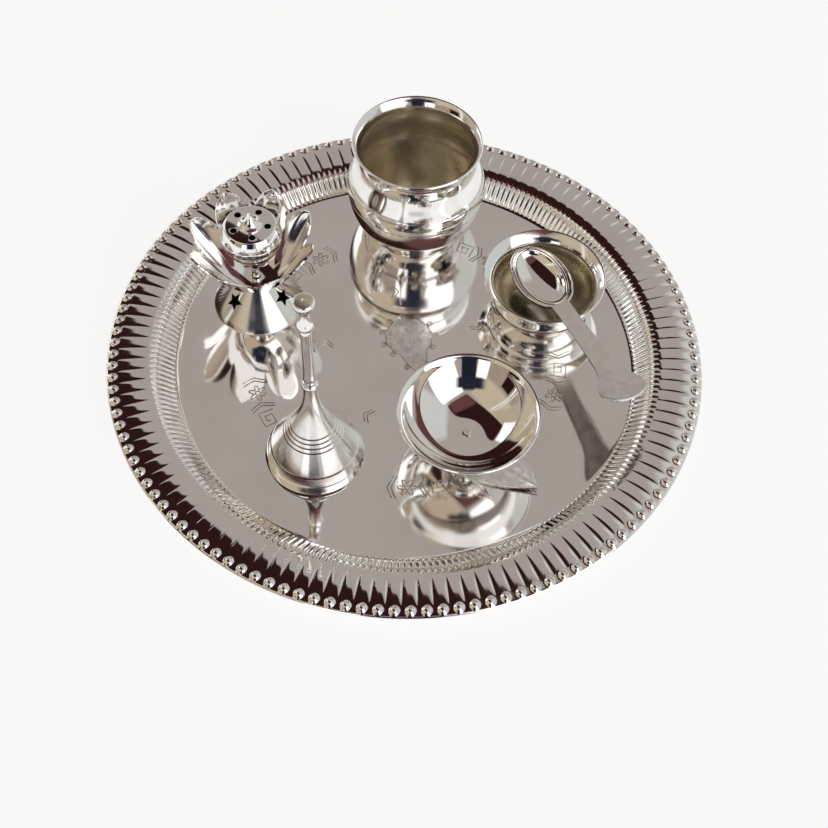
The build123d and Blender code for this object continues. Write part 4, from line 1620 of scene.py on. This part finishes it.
    def lotus(self, dresser: Dresser) -> bpy.types.Object:
        """Shape one petal on a grid, copy it round the rod and thicken the lotus."""
        rows, columns = 30, 14
        hole = self.bore()
        copies = []
        for index in range(self.petals):
            deselect()
            bpy.ops.mesh.primitive_grid_add(x_subdivisions=columns, y_subdivisions=rows, size=2.0)
            petal = bpy.context.object
            middle = math.radians(self.petal_first + index * 360.0 / self.petals)
            for vertex in petal.data.vertices:
                share = (vertex.co.y + 1) / 2
                radius = hole + (self.petal_tip - hole) * share
                aside = vertex.co.x
                turn = middle + math.radians(self.petal_half_width(radius)) * aside
                outer = max(radius - self.petal_bend, 0.0) / (self.petal_tip - self.petal_bend)
                cup = outer * (1.0 - outer * 0.5) * (aside**2 - 0.4)
                ripple = 0.2 * outer * math.sin(2.2 * math.pi * aside + index * 1.9) * (1 - 0.7 * outer)
                height = self.petal_height(radius) + cup + ripple
                vertex.co = Vector((*polar(self.place, radius, turn), FLOOR_TOP + self.cone + height)) * MM
            copies.append(petal)
        lotus = joined(copies, "incense_petals_look")
        thicken(lotus, self.petal_sheet)
        lotus.data.materials.append(dresser.shelf.get(Finish.PRESSED, self.place))
        shade(lotus, 40.0)
        return lotus

    def rod_piece(self) -> Outline:
        """Outline of the shouldered rod."""
        low = self.cone - self.sheet - self.nut[1] - 0.6
        foot = self.cone + self.petal_sheet
        high = self.cap_base() + self.cap + 1.3
        shaft, thin = self.rod
        run = [(0.0, low), (thin, low), (thin, foot), (shaft, foot), (shaft, foot + 0.6)]
        run += hermite(run[-1], (shaft - 0.25, foot + 4.0), 100.0, 90.0, 3)
        run += hermite(run[-1], (shaft, self.holder_base() - 0.4), 90.0, 80.0, 4)
        run += [(shaft, self.holder_base()), (thin, self.holder_base()), (thin, high), (0.0, high)]
        return Outline.of(run, Finish.TURNED)

    def holder_cup(self) -> Outline:
        """Outline of the half-round holder."""
        inside = self.holder - self.holder_wall
        centre = self.cap_base()
        hole = self.bore()
        first = math.asin(hole / self.holder)
        turns = [first + (math.pi / 2 - first) * step / 18 for step in range(19)]
        outer = [(self.holder * math.sin(t), centre - self.holder * math.cos(t)) for t in turns]
        inner = [(inside * math.sin(t), centre - inside * math.cos(t)) for t in reversed(turns)]
        # The inside of the holder wears painted shade.
        outline = Outline.of(outer + inner[:1], Finish.POLISHED).add(inner[1:], Finish.SOOTY)
        return outline.close(Finish.SOOTY)

    def cap_plate(self, dresser: Dresser) -> bpy.types.Object:
        """Spin the shouldered cap and cut its stick holes."""
        base = self.cap_base()
        hole = self.bore()
        edge = self.holder
        outer = [(edge, 0.0), (edge, 0.6), (edge - 0.15, 0.8)]
        outer += hermite(outer[-1], (self.cap_top + 0.35, self.cap - 0.2), 98.0, 128.0, 8)
        outer += [(self.cap_top - 0.15, self.cap), (hole, self.cap)]
        under = self.cap - self.cap_wall
        inside = edge - self.cap_wall
        inner = [(hole, under), (self.cap_top - 0.5, under), (inside, 0.45), (inside, 0.0)]
        # The underside of the cap wears painted shade.
        outline = Outline.of(outer, Finish.POLISHED).add(inner, Finish.SOOTY).close(Finish.POLISHED)
        piece = dresser.shaped("incense_cap", outline, self.place, 128, FLOOR_TOP + base)
        for index in range(self.holes):
            turn = math.radians(self.hole_first + index * 360.0 / self.holes)
            cutter = prism(28, self.hole, 0.0, 2 * self.cap)
            spot = Vector((*polar(self.place, self.hole_ring, turn), FLOOR_TOP + base)) * MM
            cutter.data.transform(Matrix.Translation(spot))
            cut_with(piece, cutter)
        shade(piece)
        return piece

    def finial_nut(self) -> Outline:
        """Outline of the finial with hollow-curved sides."""
        low = self.cap_base() + self.cap
        radius, height = self.finial
        bore = self.bore()
        top = low + 1.9
        run = [(0.0, top), (bore, top), (bore, low), (radius - 0.15, low), (radius, low + 0.2)]
        run += [(radius, low + 0.55), (radius - 0.15, low + 0.7)]
        run += hermite(run[-1], (0.62, low + height - 0.4), 160.0, 104.0, 12)
        run += [(0.42, low + height - 0.1), (0.0, low + height)]
        return Outline.of(run, Finish.POLISHED)

    def hex_nut(self) -> Outline:
        """Outline of the six-sided nut inside the foot."""
        radius, height = self.nut
        high = self.cone - self.sheet
        low = high - height
        hole = self.rod[1] + 2 * CLEARANCE
        run = [(hole, low), (radius - 0.4, low), (radius, low + 0.3), (radius, high - 0.3)]
        run += [(radius - 0.4, high), (hole, high)]
        return Outline.of(run, Finish.STEEL).close(Finish.STEEL)

    def build(self, dresser: Dresser) -> None:
        """Build every piece of the stand."""
        cone = dresser.shaped("incense_base_cone", self.base_cone(), self.place, 144)
        for angle in self.star_angles:
            cut_with(cone, self.star_cutter(angle))
        shade(cone)
        dresser.wear(cone, "incense_stand", "incense_base_cone")
        dresser.wear(self.lotus(dresser), "incense_stand", "incense_petals")
        dresser.turned("incense_rod", "incense_stand", self.rod_piece(), self.place, 48)
        dresser.turned("incense_cup", "incense_stand", self.holder_cup(), self.place, 128)
        dresser.wear(self.cap_plate(dresser), "incense_stand", "incense_cap")
        dresser.turned("incense_finial", "incense_stand", self.finial_nut(), self.place, 72)
        dresser.turned("incense_nut", "incense_stand", self.hex_nut(), self.place, 6)


@dataclass(frozen=True)
class Panel:
    """Soft-edged rectangle of light or dark in the studio round the tray.

    Attributes:
        azimuth: Direction of its middle in plan, in degrees from +X.
        elevation: Height of its middle, in degrees.
        half_width: Half its width, as a tangent.
        half_height: Half its height, as a tangent.
        color: Its colour.
        strength: Its brightness.
        soft: Width of its soft edge, as a share of its half size.
        shift: How far its middle lies to the side and up from that direction, as tangents.
    """

    azimuth: float
    elevation: float
    half_width: float
    half_height: float
    color: Color
    strength: float = 1.0
    soft: float = 0.2
    shift: Point = (0.0, 0.0)


@dataclass
class Studio:
    """Floor, light and camera.

    Attributes:
        room: Colour of the studio's walls and ceiling.
        panels: Panels of light and dark, each over the ones before it.
        floor: Colour of the floor.
        floor_size: Side of the floor in metres.
        floor_glow: Share of the floor that shows as plain white, and the brightness of that white.
        eye: Place of the camera in millimetres.
        tilt: Elevation of the view in degrees.
        roll: Roll of the view in degrees.
        focal: Focal length in pixels of a picture 828 pixels wide.
        centre: Pixel of the view's axis.
        picture: Width and height of that picture in pixels.
        sensor: Width of the camera's sensor in millimetres.
    """

    room: Color = (0.40, 0.357, 0.335)
    panels: tuple[Panel, ...] = (
        Panel(20.0, 30.0, 0.62, 0.62, (0.60, 0.61, 0.60), 1.0),
        Panel(-147.0, 40.0, 0.66, 0.46, (0.55, 0.47, 0.36), 1.0, 0.08),
        Panel(-147.0, 8.0, 0.66, 0.34, (0.36, 0.29, 0.23), 1.0),
        Panel(-44.0, 24.0, 0.40, 0.56, (1.0, 1.0, 1.0), 1.7, 0.08),
        Panel(-152.0, 8.0, 0.15, 0.26, (0.020, 0.007, 0.006), 1.0, 0.12),
        Panel(-167.0, 27.0, 0.05, 0.55, (0.80, 0.78, 0.74), 1.0, 0.4),
        Panel(-107.0, 8.0, 0.14, 0.34, (1.0, 1.0, 1.0), 1.4, 0.15),
        Panel(168.0, 30.0, 0.20, 0.45, (0.46, 0.39, 0.29), 1.0, 0.3),
        Panel(142.0, 24.0, 0.24, 0.20, (1.0, 1.0, 1.0), 1.3, 0.2),
        Panel(45.0, 90.0, 0.93, 0.375, (0.026, 0.009, 0.009), 1.0, 0.06, (0.375, 0.055)),
        Panel(45.0, 90.0, 0.24, 0.34, (0.13, 0.050, 0.054), 1.0, 0.25, (-0.36, 0.055)),
        Panel(-86.0, 17.0, 0.19, 0.60, (0.014, 0.016, 0.032), 1.0, 0.12),
        Panel(-89.0, 37.0, 0.40, 0.15, (0.018, 0.020, 0.036), 1.0, 0.3),
    )
    floor: Color = (0.90, 0.895, 0.89)
    floor_size: float = 40.0
    floor_glow: Point = (0.75, 1.12)
    eye: tuple[float, float, float] = (13.2, -350.8, 485.2)
    tilt: float = 55.836
    roll: float = 3.581
    focal: float = 1246.79
    centre: Point = (431.39, 395.28)
    picture: float = 828.0
    sensor: float = 36.0

    def light(self) -> None:
        """Build the studio's light as a world of soft panels."""
        world = bpy.data.worlds.new("studio")
        bpy.context.scene.world = world
        world.use_nodes = True
        bench = NodeBench(world.node_tree)
        output = bench.add("OutputWorld")
        background = bench.add("Background")
        bench.join(background.outputs[0], output.inputs["Surface"])
        coords = bench.add("TexCoord")
        color: object = self.room
        for panel in self.panels:
            mask = self._mask(bench, coords.outputs["Generated"], panel)
            lit = tuple(panel.strength * channel for channel in panel.color)
            color = bench.blend(mask, color, lit)
        bench.join(color, background.inputs["Color"])

    @staticmethod
    def _mask(bench: NodeBench, direction: bpy.types.NodeSocket, panel: Panel) -> bpy.types.NodeSocket:
        """Factor that is one inside a panel and falls off over its soft edge."""
        turn, lift = math.radians(panel.azimuth), math.radians(panel.elevation)
        ahead = Vector((math.cos(lift) * math.cos(turn), math.cos(lift) * math.sin(turn), math.sin(lift)))
        side = Vector((-math.sin(turn), math.cos(turn), 0.0))
        reaches = []
        for axis in (ahead, side, ahead.cross(side)):
            node = bench.add("VectorMath", operation="DOT_PRODUCT")
            bench.join(direction, node.inputs[0])
            node.inputs[1].default_value = axis
            reaches.append(node.outputs["Value"])
        front = bench.math("MAXIMUM", reaches[0], 0.001)
        mask = bench.math("GREATER_THAN", reaches[0], 0.002)
        halves = (panel.half_width, panel.half_height)
        for reach, half, shift in zip(reaches[1:], halves, panel.shift):
            away = bench.math("ABSOLUTE", bench.math("SUBTRACT", bench.math("DIVIDE", reach, front), shift))
            edge = bench.span(away, (half * (1 - panel.soft), half * (1 + panel.soft), 1.0, 0.0))
            mask = bench.math("MULTIPLY", mask, edge)
        return mask

    def ground(self) -> None:
        """Lay the pale floor under the tray."""
        deselect()
        bpy.ops.mesh.primitive_plane_add(size=self.floor_size, location=(0.0, 0.0, -0.0001))
        floor = bpy.context.object
        floor.name = "studio_floor"
        material = bpy.data.materials.new("studio_floor")
        material.use_nodes = True
        bench = NodeBench(material.node_tree)
        output = bench.add("OutputMaterial")
        matte = bench.add("BsdfDiffuse")
        matte.inputs["Color"].default_value = (*self.floor, 1.0)
        glow = bench.add("Emission")
        glow.inputs["Color"].default_value = (1.0, 1.0, 1.0, 1.0)
        share, glow.inputs["Strength"].default_value = self.floor_glow
        path = bench.add("LightPath")
        seen = bench.math("MAXIMUM", path.outputs["Is Camera Ray"], path.outputs["Is Glossy Ray"])
        seen = bench.math("MULTIPLY", bench.math("MAXIMUM", seen, path.outputs["Is Transmission Ray"]), share)
        mixed = bench.add("MixShader")
        bench.join(seen, mixed.inputs[0])
        bench.join(matte.outputs[0], mixed.inputs[1])
        bench.join(glow.outputs[0], mixed.inputs[2])
        bench.join(mixed.outputs[0], output.inputs["Surface"])
        floor.data.materials.append(material)

    def camera(self) -> None:
        """Set the camera where the photograph was taken from."""
        lift, roll = math.radians(self.tilt), math.radians(self.roll)
        right = Vector((1.0, 0.0, 0.0))
        up = Vector((0.0, math.sin(lift), math.cos(lift)))
        back = Vector((0.0, -math.cos(lift), math.sin(lift)))
        across = math.cos(roll) * right + math.sin(roll) * up
        upward = math.cos(roll) * up - math.sin(roll) * right
        data = bpy.data.cameras.new("view")
        data.sensor_width = self.sensor
        data.sensor_fit = "HORIZONTAL"
        data.lens = self.sensor * self.focal / self.picture
        data.shift_x = (self.picture / 2 - self.centre[0]) / self.picture
        data.shift_y = (self.centre[1] - self.picture / 2) / self.picture
        data.clip_start = 0.01
        camera = bpy.data.objects.new("view", data)
        bpy.context.scene.collection.objects.link(camera)
        turn = Matrix((across, upward, back)).transposed().to_4x4()
        camera.matrix_world = Matrix.Translation(Vector(self.eye) * MM) @ turn
        bpy.context.scene.camera = camera


def main() -> None:
    """Load the frame, build every sub-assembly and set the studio."""
    logging.basicConfig(level=logging.INFO, format="%(name)s: %(message)s")
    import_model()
    bpy.context.scene.view_settings.view_transform = "Standard"
    dresser = Dresser(FinishShelf())
    for assembly in (Tray(), FloorChasing(), Lota(), CupAndLadle(), Diya(), Bell(), IncenseStand()):
        assembly.build(dresser)
    studio = Studio()
    studio.light()
    studio.ground()
    studio.camera()
    deselect()


if __name__ == "__main__":
    main()
